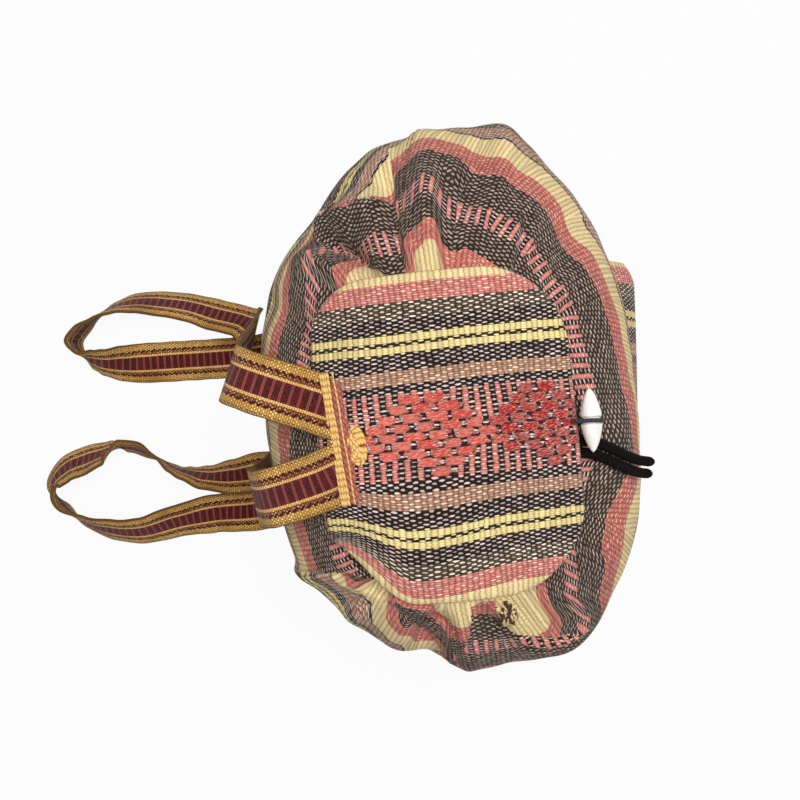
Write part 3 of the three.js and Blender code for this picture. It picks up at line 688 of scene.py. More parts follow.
@dataclass(frozen=True)
class TwistedYarn:
    """Cord or braid of plied strands. Its map is millimetres along and turns around."""

    name: str
    light: Colour
    dark: Colour
    pitch: float
    plies: float
    crossed: bool
    relief: float
    gloss: float = 0.2

    def dress(self) -> Material:
        """Makes the material.

        Returns:
            The cord's material, which reads the thread map of the piece.
        """
        shade = Shading(self.name)
        x, y = shade.threads()
        lead = x / self.pitch + y * self.plies
        strand = (lead % 1.0).hump()
        if self.crossed:
            back = x / self.pitch - y * self.plies
            over = (lead.floor() + back.floor()) % 2.0
            strand = strand * over + (back % 1.0).hump() * (1.0 - over)
        fuzz = shade.noise((x * 0.9, y * 22.0, 2.0), 1.4, 3.0)
        # share paints the plies' relief: light on each strand's crest and dark in the grooves between
        # strands, a painted shade, with fuzz as random tone.
        share = (strand ** 0.7) * (0.55 + 0.7 * fuzz)
        return shade.finish({
            "Base Color": shade.mix(share.clip(), self.dark, self.light),
            "Roughness": 0.9 - 0.3 * strand * self.gloss,
            "Specular IOR Level": 0.06 + 0.4 * self.gloss,
            "Normal": shade.bump(strand + 0.3 * fuzz, self.relief),
        })


@dataclass(frozen=True)
class Ivory:
    """Smooth turned ivory-white toggle with faint grain along it."""

    name: str = "ivory_toggle"
    light: Colour = tone(244, 243, 238)
    grain: Colour = tone(224, 219, 205)

    def dress(self) -> Material:
        """Makes the material.

        Returns:
            The toggle's material, on object coordinates.
        """
        shade = Shading(self.name)
        sockets = {"Vector": shade.place(), "Scale": (60.0, 420.0, 420.0)}
        streak = shade.noise(shade.wire("ShaderNodeMapping", {}, sockets), 1.0, 4.0)
        return shade.finish({
            "Base Color": shade.mix(shade.rise(streak, 0.35, 0.75), self.light, self.grain),
            "Roughness": 0.3 + 0.18 * streak,
            "Specular IOR Level": 0.5,
            "Coat Weight": 0.15,
            "Normal": shade.bump(streak, 0.06),
        })


@dataclass(frozen=True)
class SewingThread:
    """Fine stitching thread with slight differences from stitch to stitch."""

    name: str
    light: Colour
    dark: Colour

    def dress(self) -> Material:
        """Makes the material.

        Returns:
            The thread's material, on object coordinates.
        """
        shade = Shading(self.name)
        fuzz = shade.noise(shade.place(), 900.0, 3.0)
        return shade.finish({
            "Base Color": shade.mix(fuzz, self.dark, self.light),
            "Roughness": 0.7 + 0.2 * fuzz,
            "Specular IOR Level": 0.3,
            "Normal": shade.bump(fuzz, 0.2),
        })


# Mesh tools


@dataclass
class Piece:
    """Object made from one bmesh, in metres at the origin, with the nodes of the frame that it replaces.

    A sheet has its thickness in millimetres behind its outer face, unless offset says otherwise.
    """

    name: str
    slot: str
    replaces: tuple[str, ...] = ()
    thickness: float = 0.0
    offset: float = -1.0

    def place(self, work: Mesh, material: Material) -> bpy.types.Object:
        """Turns a bmesh into a dressed object that rides on the bag.

        Args:
            work: Mesh in metres, which is freed.
            material: Finish of all its faces.

        Returns:
            The object.
        """
        for face in work.faces:
            face.smooth = True
        mesh = bpy.data.meshes.new(self.name)
        work.to_mesh(mesh)
        work.free()
        mesh.materials.append(material)
        made = bpy.data.objects.new(self.name, mesh)
        bpy.context.scene.collection.objects.link(made)
        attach(made, "root")
        if self.replaces:
            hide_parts(*self.replaces)
        if self.thickness:
            shell = made.modifiers.new("thickness", "SOLIDIFY")
            shell.thickness = self.thickness * METRES
            shell.offset = self.offset
            shell.use_quality_normals = True
        LOG.info("%s: %d faces", self.name, len(mesh.polygons))
        return made


class Loom:
    """Makes pieces of cloth and cord from grids that are bent to shape."""

    @staticmethod
    def grid(points: Array, threads: Array) -> Mesh:
        """Bends a flat grid to the given points and maps its threads.

        Args:
            points: Rows by columns of points in millimetres.
            threads: Place along and across the yarns of each point, or of each face's four corners.

        Returns:
            The bent grid in metres.
        """
        rows, columns = points.shape[0] - 1, points.shape[1] - 1
        if threads.ndim == 3:
            low = np.stack([threads[:-1, :-1], threads[:-1, 1:]], axis=2)
            high = np.stack([threads[1:, :-1], threads[1:, 1:]], axis=2)
            threads = np.stack([low, high], axis=2)
        work = bmesh.new()
        bmesh.ops.create_grid(work, x_segments=columns, y_segments=rows, size=1.0)
        work.verts.index_update()
        places = (points.reshape(-1, 3) * METRES).tolist()
        for vert in work.verts:
            vert.co = places[vert.index]
        layer = work.loops.layers.uv.new(THREADS)
        corners = threads.tolist()
        for face in work.faces:
            spots = [divmod(loop.vert.index, columns + 1) for loop in face.loops]
            row = min(spot[0] for spot in spots)
            column = min(spot[1] for spot in spots)
            for loop, (up, side) in zip(face.loops, spots):
                loop[layer].uv = corners[row][column][up - row][side - column]
        return work

    @staticmethod
    def sheet(points: Array, along: Array, across: Array) -> Mesh:
        """Bends a grid with the given places along and across the yarns."""
        return Loom.grid(points, np.stack(np.broadcast_arrays(along, across), axis=-1))

    @staticmethod
    def cord(path: Array, radius: float, tip: float, sides: int) -> Mesh:
        """Makes a round cord along a path, closed and rounded off at both ends.

        Args:
            path: Points of the centreline in millimetres.
            radius: Radius of the cord.
            tip: Share of the radius left at the very ends.
            sides: Faces around the cord.

        Returns:
            The cord in metres, mapped in millimetres along and turns around.
        """
        radii = np.full(len(path), radius)
        for i, share in enumerate((tip, 0.78, 0.94)):
            radii[[i, -1 - i]] = radius * share
        ahead = unit(np.gradient(path, axis=0))
        side = np.zeros_like(path)
        start = np.array([0.0, 0.0, 1.0]) if abs(ahead[0][2]) < 0.9 else np.array([1.0, 0.0, 0.0])
        for i, heading in enumerate(ahead):
            start = unit(start - heading * np.dot(start, heading))
            side[i] = start
        other = np.cross(ahead, side)
        turns = np.linspace(0.0, 2 * math.pi, sides + 1)
        ring = side[:, None] * np.cos(turns)[:, None] + other[:, None] * np.sin(turns)[:, None]
        points = path[:, None] + ring * radii[:, None, None]
        work = Loom.sheet(points, *over_grid(lengths(path), np.linspace(0.0, 1.0, sides + 1)))
        bmesh.ops.remove_doubles(work, verts=work.verts[:], dist=WELD)
        open_edges = [edge for edge in work.edges if edge.is_boundary]
        bmesh.ops.holes_fill(work, edges=open_edges, sides=sides)
        bmesh.ops.recalc_face_normals(work, faces=work.faces[:])
        return work

    @staticmethod
    def join(whole: Mesh, part: Mesh) -> None:
        """Moves a part's faces into a whole.

        Args:
            whole: Mesh that takes them.
            part: Mesh that is freed.
        """
        mesh = bpy.data.meshes.new("part")
        part.to_mesh(mesh)
        part.free()
        whole.from_mesh(mesh)
        bpy.data.meshes.remove(mesh)

    @staticmethod
    def stitches(path: Array, out: Array, long: float, apart: float, thick: float) -> Mesh:
        """Sews a row of stitches along a path.

        Args:
            path: Points along the seam in millimetres.
            out: Direction out of the cloth at each point.
            long: Length of one stitch.
            apart: Way from one stitch to the next.
            thick: Thickness of the thread.

        Returns:
            All the stitches in metres.
        """
        work = bmesh.new()
        metres = Matrix.Diagonal((METRES, METRES, METRES, 1.0))
        length = lengths(path)
        ahead = unit(np.gradient(path, axis=0))

        def at(values: Array, way: float) -> Vector:
            """Value at a way along the seam."""
            return Vector([np.interp(way, length, values[:, k]) for k in range(3)])

        for way in np.arange(apart / 2, length[-1], apart):
            heading = at(ahead, way).normalized()
            lift = at(out, way)
            across = lift.cross(heading).normalized()
            lift = heading.cross(across).normalized()
            turn = Matrix((heading, across, lift)).transposed().to_4x4()
            size = Matrix.Diagonal((long / 2, thick / 2, thick / 2, 1.0))
            matrix = metres @ Matrix.Translation(at(path, way)) @ turn @ size
            bmesh.ops.create_icosphere(work, subdivisions=1, radius=1.0, matrix=matrix)
        return work


@dataclass(frozen=True)
class SmoothPath:
    """Centripetal curve through given points, as the frame's cords and straps follow."""

    points: Array

    def at(self, shares: Array) -> Array:
        """Gives points of the curve.

        Args:
            shares: Shares of the way, even in the number of given points.

        Returns:
            One point for each share.
        """
        given = self.points
        line = np.vstack([2 * given[0] - given[1], given, 2 * given[-1] - given[-2]])
        place = np.clip(shares, 0.0, 1.0) * (len(given) - 1)
        low = np.minimum(np.floor(place).astype(int), len(given) - 2)
        t = (place - low)[:, None]
        p0, p1, p2, p3 = line[low], line[low + 1], line[low + 2], line[low + 3]
        pairs = ((p0, p1), (p1, p2), (p2, p3))
        d0, d1, d2 = (np.sum((b - a) ** 2, axis=1)[:, None] ** 0.25 for a, b in pairs)
        t1 = ((p1 - p0) / d0 - (p2 - p0) / (d0 + d1) + (p2 - p1) / d1) * d1
        t2 = ((p2 - p1) / d1 - (p3 - p1) / (d1 + d2) + (p3 - p2) / d2) * d1
        square = (-3 * p1 + 3 * p2 - 2 * t1 - t2) * t ** 2
        return p1 + t1 * t + square + (2 * p1 - 2 * p2 + t1 + t2) * t ** 3


# Shape of the bag, with the same driving sizes as the frame


@dataclass(frozen=True)
class Fold:
    """Soft fold of the cloth along a line: a ridge, or a valley where its height is negative.

    The line goes from one place to another, each an angle round the bag and a way down it, and the fold
    is steeper on its right where it hangs over.
    """

    start: tuple[float, float]
    finish: tuple[float, float]
    width: float
    height: float
    over: float = 1.0

    def rise(self, angle: Array, down: Array) -> Array:
        """Gives the height of the fold over the plain cloth.

        Args:
            angle: Degrees round the bag.
            down: Way down the bag.

        Returns:
            Heights in millimetres.
        """
        per_degree, per_down = 2.0, 150.0
        ahead_x = (self.finish[0] - self.start[0]) * per_degree
        ahead_y = (self.finish[1] - self.start[1]) * per_down
        length = float(np.hypot(ahead_x, ahead_y))
        x = turn_between(angle, self.start[0]) * per_degree
        y = (down - self.start[1]) * per_down
        share = (x * ahead_x + y * ahead_y) / length ** 2
        off = (x * ahead_y - y * ahead_x) / length
        ends = smoothstep(share, -0.12, 0.22) * (1.0 - smoothstep(share, 0.78, 1.12))
        width = np.where(off > 0.0, self.width * self.over, self.width)
        return self.height * ends * bell(off / width)


FOLDS = (
    Fold((15, 0.12), (7, 0.84), 9.0, 5.5), Fold((31, 0.16), (21, 0.62), 5.5, -6.0),
    Fold((2, 0.14), (358, 0.62), 6.0, -3.0), Fold((47, 0.84), (35, 0.51), 9.0, 5.0, 0.28),
    Fold((37, 0.54), (22, 0.41), 8.0, 4.5, 0.3), Fold((46, 0.9), (24, 0.5), 6.0, -3.0),
    Fold((48, 0.3), (57, 0.72), 6.0, 5.5), Fold((42, 0.28), (50, 0.68), 3.6, -6.0),
    Fold((66, 0.35), (70, 0.85), 7.0, -2.5), Fold((84, 0.4), (82, 0.9), 9.0, 2.5),
    Fold((128, 1.0), (131, 0.5), 8.0, 4.0, 0.3), Fold((132, 0.52), (154, 0.27), 7.0, 3.5, 0.3),
    Fold((146, 0.42), (148, 0.95), 8.0, 3.0), Fold((163, 0.3), (181, 0.95), 5.0, -4.5),
    Fold((184, 0.2), (187, 0.8), 6.0, 2.0), Fold((195, 0.18), (200, 0.42), 6.0, -4.5),
    Fold((203, 0.46), (224, 0.72), 7.0, 3.0, 0.3), Fold((203, 0.54), (222, 0.8), 4.0, -2.5),
    Fold((213, 0.16), (220, 0.5), 7.0, 3.0), Fold((233, 0.2), (229, 0.7), 6.0, -2.5),
    Fold((253, 0.14), (246, 0.6), 6.0, -3.0), Fold((262, 0.2), (258, 0.7), 8.0, 2.0),
    Fold((328, 0.42), (321, 0.16), 4.5, -4.0), Fold((319, 0.5), (309, 0.2), 6.0, 2.8),
    Fold((304, 0.5), (296, 0.16), 5.5, -2.2), Fold((340, 0.3), (344, 0.9), 9.0, 2.0),
)


@dataclass(frozen=True)
class BagShape:
    """Form of the standing bag and of what lies on its shoulder."""

    cloth: float = 2.0
    gap: float = 0.3
    drape_gap: float = 0.5
    body_width: float = 346.0
    body_depth: float = 242.0
    belly_height: float = 165.0
    belly_y: float = 4.0
    slump_foot: float = 45.0
    mouth_height: float = 240.0
    mouth_width: float = 150.0
    mouth_depth: float = 56.0
    mouth_x: float = -20.0
    mouth_y: float = 4.0
    base_width: float = 252.0
    base_depth: float = 164.0
    wall_roundness: float = 3.5
    cord_diameter: float = 6.0
    cord_clearance: float = 1.2
    cord_x: float = -25.5
    notch_margin: float = 4.0
    flap_lift_spread: float = 62.0
    bulges: tuple[tuple[float, float, float], ...] = (
        (342, 10, 0.051), (318, 12, 0.013), (240, 20, 0.117), (218, 13, 0.107), (184, 5, -0.004),
        (173, 8, -0.07), (152, 18, -0.06), (129, 8, 0.012), (106, 20, -0.046), (63, 10, 0.02),
        (44, 14, -0.025), (11, 7, -0.015),
    )
    pleats: tuple[tuple[float, float, float, float], ...] = (
        (352, 8, 7, 1.0), (22, 8, 6, 0.8), (48, 8, 13, 1.0), (72, 7, 4, 0.7), (96, 7, 4, 0.6),
        (118, 7, 5, 0.7), (142, 8, 6, 0.8), (174, 8, 8, 0.8), (200, 7, 5, 0.9), (222, 8, 6, 0.9),
        (246, 7, 3, 0.6), (296, 7, 3, 0.6), (318, 8, 5, 0.9), (336, 7, 4, 0.7),
    )
    folds: tuple[Fold, ...] = FOLDS

    @property
    def hem_radius(self) -> float:
        """Outer radius of the casing round the drawstring."""
        return self.cord_diameter / 2 + self.cord_clearance + self.cloth

    @property
    def hem_reach(self) -> float:
        """How far the casing's edge is tucked in under the shoulder."""
        return 1.7 * self.hem_radius

    @property
    def front_rim(self) -> float:
        """Furthest forward that the mouth's rim reaches."""
        return self.mouth_y - self.mouth_depth / 2

    @property
    def notch_half(self) -> float:
        """Half the width of the notch in the rim that the drawstring comes out of."""
        return 2.0 * self.cord_diameter

    @property
    def back_y(self) -> float:
        """Furthest back that the belly reaches."""
        return self.belly_y + self.body_depth / 2

    @property
    def front_y_most(self) -> float:
        """Furthest forward that the belly reaches."""
        return self.belly_y - self.body_depth / 2

    def bulge(self, angle: Array) -> Array:
        """Share by which the filled bag stands out of an even oval."""
        return sum(grow * bell(turn_between(angle, at) / spread) for at, spread, grow in self.bulges)

    def pleat_depth(self, angle: Array, down: Array) -> Array:
        """Gives the depth of the gathers' valleys.

        Args:
            angle: Degrees round the bag.
            down: Way down the bag.

        Returns:
            Depths in millimetres.
        """
        rise = smoothstep(down, 0.16, 0.34)
        depth = np.zeros_like(angle * down)
        for at, spread, deep, reach in self.pleats:
            fade = 1.0 - smoothstep(down, 0.45 * reach, reach)
            depth = depth + deep * rise * fade * bell(turn_between(angle, at) / spread)
        return depth

    def smooth_body(self, angle: Array, down: Array) -> Array:
        """Gives points of the body without its pleats.

        Args:
            angle: Degrees round from +X towards +Y.
            down: 0 at the mouth, 1 at the belly and 2 at the base.

        Returns:
            Points in millimetres.
        """
        angle, down = np.broadcast_arrays(np.asarray(angle, float), np.asarray(down, float))
        t = np.radians(angle)
        top = down <= 1.0
        turn = np.where(top, down, 2.0 - np.minimum(down, 2.0)) * math.pi / 2
        power = 2.0 / self.wall_roundness
        wall = np.maximum(np.sin(turn), 0.0) ** power
        share = np.where(top, np.sin(turn), wall)
        drop = np.maximum(np.cos(turn), 0.0)
        shoulder_z = self.belly_height + (self.mouth_height - self.belly_height) * drop
        z = np.where(top, shoulder_z, self.belly_height * (1.0 - drop ** power))
        swell = np.where(top, 1.0, smoothstep(z, self.slump_foot, self.belly_height))
        grow = 1.0 + self.bulge(angle) * share * swell
        a = lerp(np.where(top, self.mouth_width, self.base_width), self.body_width, share)
        b = lerp(np.where(top, self.mouth_depth, self.base_depth), self.body_depth, share)
        x0 = np.where(top, self.mouth_x * (1.0 - share), 0.0)
        y0 = np.where(top, lerp(self.mouth_y, self.belly_y, share), self.belly_y * share)
        return np.stack([x0 + a / 2 * grow * np.cos(t), y0 + b / 2 * grow * np.sin(t), z], axis=-1)

    def body_normal(self, angle: Array, down: Array) -> Array:
        """Gives the direction out of the smooth body.

        Args:
            angle: Degrees round the bag.
            down: Way down the bag.

        Returns:
            Directions with a length of one.
        """
        turn, step = 0.5, 0.005
        low = np.maximum(down - step, 0.0)
        high = np.minimum(down + step, 2.0)
        round_way = self.smooth_body(angle + turn, down) - self.smooth_body(angle - turn, down)
        up_way = self.smooth_body(angle, low) - self.smooth_body(angle, high)
        return unit(np.cross(round_way, up_way))

    def crease(self, angle: Array, down: Array) -> Array:
        """Gives the height of the fine folds that the frame leaves out.

        Args:
            angle: Degrees round the bag.
            down: Way down the bag.

        Returns:
            Heights in millimetres.
        """
        height = np.zeros_like(angle * down)
        for fold in self.folds:
            height = height + fold.rise(angle, down)
        t = np.radians(angle)
        low = np.sin(5.0 * t + 3.1 * down) * np.sin(3.0 * t - 5.3 * down + 1.0)
        fine = np.sin(17.0 * t + 9.0 * down + 2.0 * np.sin(4.0 * t))
        fine = fine * np.sin(11.0 * down + 3.0 * np.sin(7.0 * t))
        calm = smoothstep(down, 0.1, 0.4) * (1.0 - smoothstep(down, 1.75, 1.95))
        return height + calm * (0.9 * low + 0.55 * fine - 0.9)

    def body(self, angle: Array, down: Array) -> Array:
        """Gives points of the pleated and creased body.

        Args:
            angle: Degrees round the bag.
            down: Way down the bag.

        Returns:
            Points in millimetres.
        """
        out = self.body_normal(angle, down)
        push = self.crease(angle, down) - self.pleat_depth(angle, down)
        return self.smooth_body(angle, down) + out * push[..., None]

    def rim(self, angle: Array) -> Array:
        """Points of the mouth's rim."""
        return self.smooth_body(angle, np.zeros_like(angle))

    def into_mouth(self, angle: Array) -> Array:
        """Gives the level direction into the mouth, at right angles to its rim.

        Args:
            angle: Degrees round the mouth.

        Returns:
            Directions with a length of one.
        """
        t = np.radians(angle)
        x, y = -np.cos(t) * self.mouth_depth, -np.sin(t) * self.mouth_width
        return unit(np.stack([x, y, np.zeros_like(t)], axis=-1))

    def rim_angle(self, x: float) -> float:
        """Angle of the front rim's point at the given x."""
        return -math.degrees(math.acos((x - self.mouth_x) / (self.mouth_width / 2)))

    def notch_ends(self) -> tuple[float, float]:
        """Angles of the rim's two ends, from one side of the notch round to the other."""
        first, last = (self.rim_angle(self.cord_x + side * self.notch_half) for side, _ in SIDES)
        return first, last + 360.0

    def shoulder_height(self, x: Array, y: Array) -> Array:
        """Gives the height of the smooth shoulder, which is level over the open mouth.

        Args:
            x: X of the points.
            y: Y of the points.

        Returns:
            Heights in millimetres.
        """
        x, y = np.broadcast_arrays(np.asarray(x, float), np.asarray(y, float))

        def outside(share: Array) -> Array:
            """Tells which points lie outside the oval at a level.

            Args:
                share: Share of the way out from the mouth to the belly.

            Returns:
                True for the points outside.
            """
            a = lerp(self.mouth_width, self.body_width, share) / 2
            b = lerp(self.mouth_depth, self.body_depth, share) / 2
            px = (x - self.mouth_x * (1.0 - share)) / a
            py = (y - lerp(self.mouth_y, self.belly_y, share)) / b
            angle = np.degrees(np.arctan2(py, px))
            return np.hypot(px, py) > 1.0 + self.bulge(angle) * share

        low = np.zeros_like(x)
        high = np.ones_like(x)
        for _ in range(26):
            middle = (low + high) / 2
            out = outside(middle)
            low = np.where(out, middle, low)
            high = np.where(out, high, middle)
        low = np.where(outside(np.zeros_like(x)), low, 0.0)
        return self.belly_height + (self.mouth_height - self.belly_height) * np.sqrt(1.0 - low * low)

    def slope_length(self, x: Array, y: Array) -> Array:
        """Length of the shoulder's slope for one unit of level way along Y."""
        fall = (self.shoulder_height(x, y - 1.0) - self.shoulder_height(x, y + 1.0)) / 2
        return np.hypot(1.0, fall)

    def flap_top(self, x: Array, y: Array) -> Array:
        """Gives the height of the flap's upper face, which rides up over the drawstring.

        Args:
            x: X of the points.
            y: Y of the points.

        Returns:
            Heights in millimetres.
        """
        here = self.shoulder_height(x, y)
        slope = np.hypot(self.slope_length(x, y), self.shoulder_height(x + 1.0, y) - here)
        ride = smoothstep(-y, -40.0, 22.0) * bell((x - self.cord_x) / self.flap_lift_spread)
        return here + (self.drape_gap + self.cloth) * slope + (self.cord_diameter + 2.4) * ride

    def front_y(self, x: Array, z: Array) -> Array:
        """Finds the front wall.

        Args:
            x: X of the points.
            z: Height of the points.

        Returns:
            Y of the wall there.
        """
        x, z = np.broadcast_arrays(np.asarray(x, float), np.asarray(z, float))
        drop = np.clip(1.0 - z / self.belly_height, 0.0, 1.0)
        share = (1.0 - drop ** self.wall_roundness) ** (1.0 / self.wall_roundness)
        a = lerp(self.base_width, self.body_width, share) / 2
        b = lerp(self.base_depth, self.body_depth, share) / 2
        reach = np.ones_like(x)
        for _ in range(12):
            across = np.minimum(np.abs(x) / (a * reach), 0.999)
            angle = 360.0 - np.degrees(np.arccos(np.sign(x) * across))
            reach = 1.0 + self.bulge(angle) * share * smoothstep(z, self.slump_foot, self.belly_height)
        inner = np.maximum(1.0 - (x / (a * reach)) ** 2, 0.0)
        return self.belly_y * share - b * reach * np.sqrt(inner)


@dataclass(frozen=True)
class Pull:
    """Place where the gathers pull the cloth by millimetres, so that its stripes run higher or lower."""

    angle: float
    down: float
    amount: float
    spread: float = 7.0
    reach: float = 0.13

    def weight(self, angle: Array, down: Array) -> Array:
        """How much the place counts at points round and down the bag."""
        return bell(turn_between(angle, self.angle) / self.spread) * bell((down - self.down) / self.reach)


@dataclass(frozen=True)
class Lay:
    """Course of the stripes over an area of cloth, which an outline may bound where it is tucked.

    Each pull is a row of Pull's values.
    """

    pulls: tuple[tuple[float, ...], ...]
    outline: tuple[tuple[float, float], ...] = ()
    rest: float = 0.03
    low: float = 0.82

    def pulled(self, angle: Array, down: Array) -> Array:
        """Gives how far the pulls shift the stripes, before they are evened out.

        Args:
            angle: Degrees round the bag.
            down: Way down the bag.

        Returns:
            Millimetres of cloth.
        """
        total = np.full_like(angle, self.rest)
        moved = np.zeros_like(angle)
        for pull in (Pull(*row) for row in self.pulls):
            weight = pull.weight(angle, down)
            total = total + weight
            moved = moved + weight * pull.amount
        return moved / total

    def shift(self, angle: Array, down: Array) -> Array:
        """Gives how far the stripes are pulled, evened out over near points.

        Args:
            angle: Degrees round the bag.
            down: Way down the bag.

        Returns:
            Millimetres of cloth.
        """
        near = ((0.0, 0.0), (1.5, 0.0), (-1.5, 0.0), (0.0, 0.03), (0.0, -0.03))
        held = np.minimum(down, self.low)
        even = sum(self.pulled(angle + turn, held + way) for turn, way in near) / len(near)
        return even * (1.0 - smoothstep(down, self.low, 1.95))

    def holds(self, angle: Array, down: Array) -> Array:
        """Tells which points lie inside the outline.

        Args:
            angle: Degrees round the bag.
            down: Way down the bag.

        Returns:
            True for the points inside.
        """
        inside = np.zeros(angle.shape, bool)
        round_way = np.mod(angle, 360.0)
        ends = self.outline[1:] + self.outline[:1]
        for (a0, d0), (a1, d1) in zip(self.outline, ends):
            crosses = (d0 > down) != (d1 > down)
            at = a0 + (down - d0) / (d1 - d0 if d1 != d0 else 1.0) * (a1 - a0)
            inside ^= crosses & (round_way < at)
        return inside


OPEN_CLOTH = Lay((
    (9, 0.36, -16, 4), (15, 0.2, -15, 4), (14, 0.27, -16, 4), (21, 0.38, -18, 4), (10, 0.47, -19, 5),
    (16, 0.47, -19, 5), (13, 0.57, -12, 5), (20, 0.57, -13, 5), (11, 0.65, -11, 5), (5, 0.71, -19, 5),
    (6, 0.59, -17, 5), (359, 0.58, -15, 5), (357, 0.7, -19, 5), (352, 0.65, -12, 5),
    (354, 0.76, -11, 5), (1, 0.14, 8, 5), (3, 0.28, 0, 3), (3, 0.35, 0, 3), (352, 0.34, 1, 6),
    (351, 0.24, 4, 6), (340, 0.22, 5, 8), (341, 0.3, 4), (345, 0.5, 0, 7), (346, 0.66, 0, 6),
    (347, 0.78, 0, 6), (338, 0.62, 4), (331, 0.36, 0, 6), (330, 0.48, 2, 6), (329, 0.62, 0, 6),
    (325, 0.78, -9, 6), (322, 0.52, -2, 5), (321, 0.63, -5, 5), (316, 0.5, 8, 4), (311, 0.5, 11, 4),
    (314, 0.27, 3, 5), (308, 0.3, 11, 3), (307, 0.27, 3, 4), (303, 0.5, 3, 6), (300, 0.33, 0, 6),
    (298, 0.6, 2, 8), (286, 0.3, 6, 9), (282, 0.6, 3, 9), (271, 0.42, 2, 9), (268, 0.66, -5, 6),
    (264, 0.66, -11, 5), (257, 0.61, -4, 4), (256, 0.78, -12, 5), (254, 0.36, 10, 5), (253, 0.53, 8, 5),
    (252, 0.68, 0, 5), (247, 0.49, 12, 5), (247, 0.64, 6, 5), (241, 0.48, 13, 4), (240, 0.7, -2, 5),
    (236, 0.36, 7, 3), (234, 0.58, -3, 3), (233, 0.42, 0, 3), (234, 0.93, -20, 5), (230, 0.42, -13, 3),
    (230, 0.68, -15, 3), (228, 0.5, -13, 3), (225, 0.42, -15, 3), (226, 0.3, -12, 3),
    (223, 0.7, -42, 4), (221, 0.63, -44, 4), (222, 0.4, -26, 3), (220, 0.32, -27, 3),
    (218, 0.58, -53, 4), (215, 0.51, -54, 4), (212, 0.35, -40, 4), (210, 0.26, -25, 4),
    (210, 0.45, -52, 4), (191, 0.2, -14, 5), (187, 0.28, -14, 4), (186, 0.35, -11, 3),
    (183, 0.2, -14, 4), (180, 0.43, -18, 3), (177, 0.39, -23, 3), (175, 0.17, -9, 4),
    (174, 0.45, -15, 3), (173, 0.26, -8, 3), (166, 0.24, 5, 4), (47, 0.36, -49, 4), (50, 0.46, -46, 4),
    (52, 0.58, -51, 4), (56, 0.65, -44, 4), (58, 0.8, 24, 5, 0.08), (60, 0.54, -31, 4),
    (61, 0.45, -23, 4), (64, 0.54, -24, 4), (65, 0.62, -12, 4), (67, 0.77, 29, 5, 0.08),
    (74, 0.5, -16, 6), (76, 0.63, -6, 6), (77, 0.86, 23, 7, 0.1), (98, 0.55, 10, 9), (98, 0.66, 12, 9),
    (99, 0.82, 10, 9), (124, 0.57, 12, 7), (125, 0.44, 5, 7), (123, 0.7, 16, 7),
))
UNDER_TUCK = Lay((
    (20, 0.64, -7), (21, 0.58, 0), (25, 0.49, 14), (26, 0.58, 7), (33, 0.62, 21), (38, 0.75, 23),
    (33, 0.79, 20), (43, 0.88, 13), (50, 0.9, 11), (40, 1.0, 8),
), (
    (20, 0.6), (22, 0.5), (24, 0.43), (30, 0.47), (35, 0.53), (41, 0.65), (46, 0.79), (50, 0.83),
    (54, 0.88), (54, 1.95), (18, 1.95), (18, 0.8),
))
OVER_TUCK = Lay((
    (27, 0.32, 5), (32, 0.24, 7), (37, 0.43, -11), (43, 0.39, -16, 4), (47, 0.7, -46, 4),
    (49, 0.59, -45, 3), (35, 0.47, -5), (42, 0.6, -26, 4),
), (
    (31, 0.16), (28, 0.25), (25, 0.33), (24, 0.43), (30, 0.47), (35, 0.53), (41, 0.65), (46, 0.79),
    (50, 0.75), (50, 0.7), (49, 0.6), (48, 0.54), (46, 0.45), (44, 0.35), (41, 0.26), (38, 0.16),
))
SIDE_TUCK = Lay((
    (131, 0.67, 60), (141, 0.7, 61), (147, 0.4, 66, 4), (145, 0.35, 64, 3), (150, 0.7, 58, 5),
    (150, 0.41, 57, 2), (152, 0.38, 53, 2), (154, 0.36, 42, 2), (154, 0.57, 48, 4), (156, 0.5, 47, 3),
    (157, 0.43, 47, 2), (159, 0.4, 37, 2), (160, 0.6, 45, 4), (160, 0.32, 29, 3), (164, 0.51, 47, 3),
    (169, 0.59, 32, 3), (171, 0.57, 22, 3, 0.06), (171, 0.42, 20, 4, 0.08), (174, 0.76, 23, 4),
    (176, 0.62, 31, 2, 0.06), (177, 0.57, 19, 2, 0.06), (178, 0.51, 8, 3, 0.06),
    (181, 0.61, -7, 3, 0.08), (172, 0.95, 22, 5),
), (
    (127, 1.95), (128, 0.9), (129, 0.61), (131, 0.51), (134, 0.41), (139, 0.37), (146, 0.3),
    (153, 0.28), (160, 0.29), (166, 0.32), (172, 0.4), (178, 0.49), (181, 0.59), (183, 0.8),
    (184, 1.95),
))
FRONT_TUCK = Lay((
    (197, 0.21, 0, 4), (196, 0.35, -4, 4), (192, 0.26, 8, 4), (200, 0.42, -14, 4), (189, 0.43, 1, 4),
    (194, 0.47, -3, 4), (201, 0.52, -11, 4), (208, 0.51, -14, 4), (214, 0.58, -27, 4),
    (219, 0.67, -43, 4), (184, 0.5, 10, 4), (192, 0.61, -3, 5), (200, 0.67, -11, 5),
    (209, 0.67, -19, 4), (216, 0.78, -39, 4), (222, 0.85, -54, 4),
), (
    (191, 0.17), (204, 0.19), (204, 0.28), (203, 0.42), (206, 0.46), (209, 0.48), (214, 0.54),
    (217, 0.6), (222, 0.7), (226, 0.86), (226, 1.95), (184, 1.95), (183, 0.8), (182, 0.63), (184, 0.47),
    (186, 0.4), (188, 0.33), (190, 0.23),
))


# Sub-assemblies


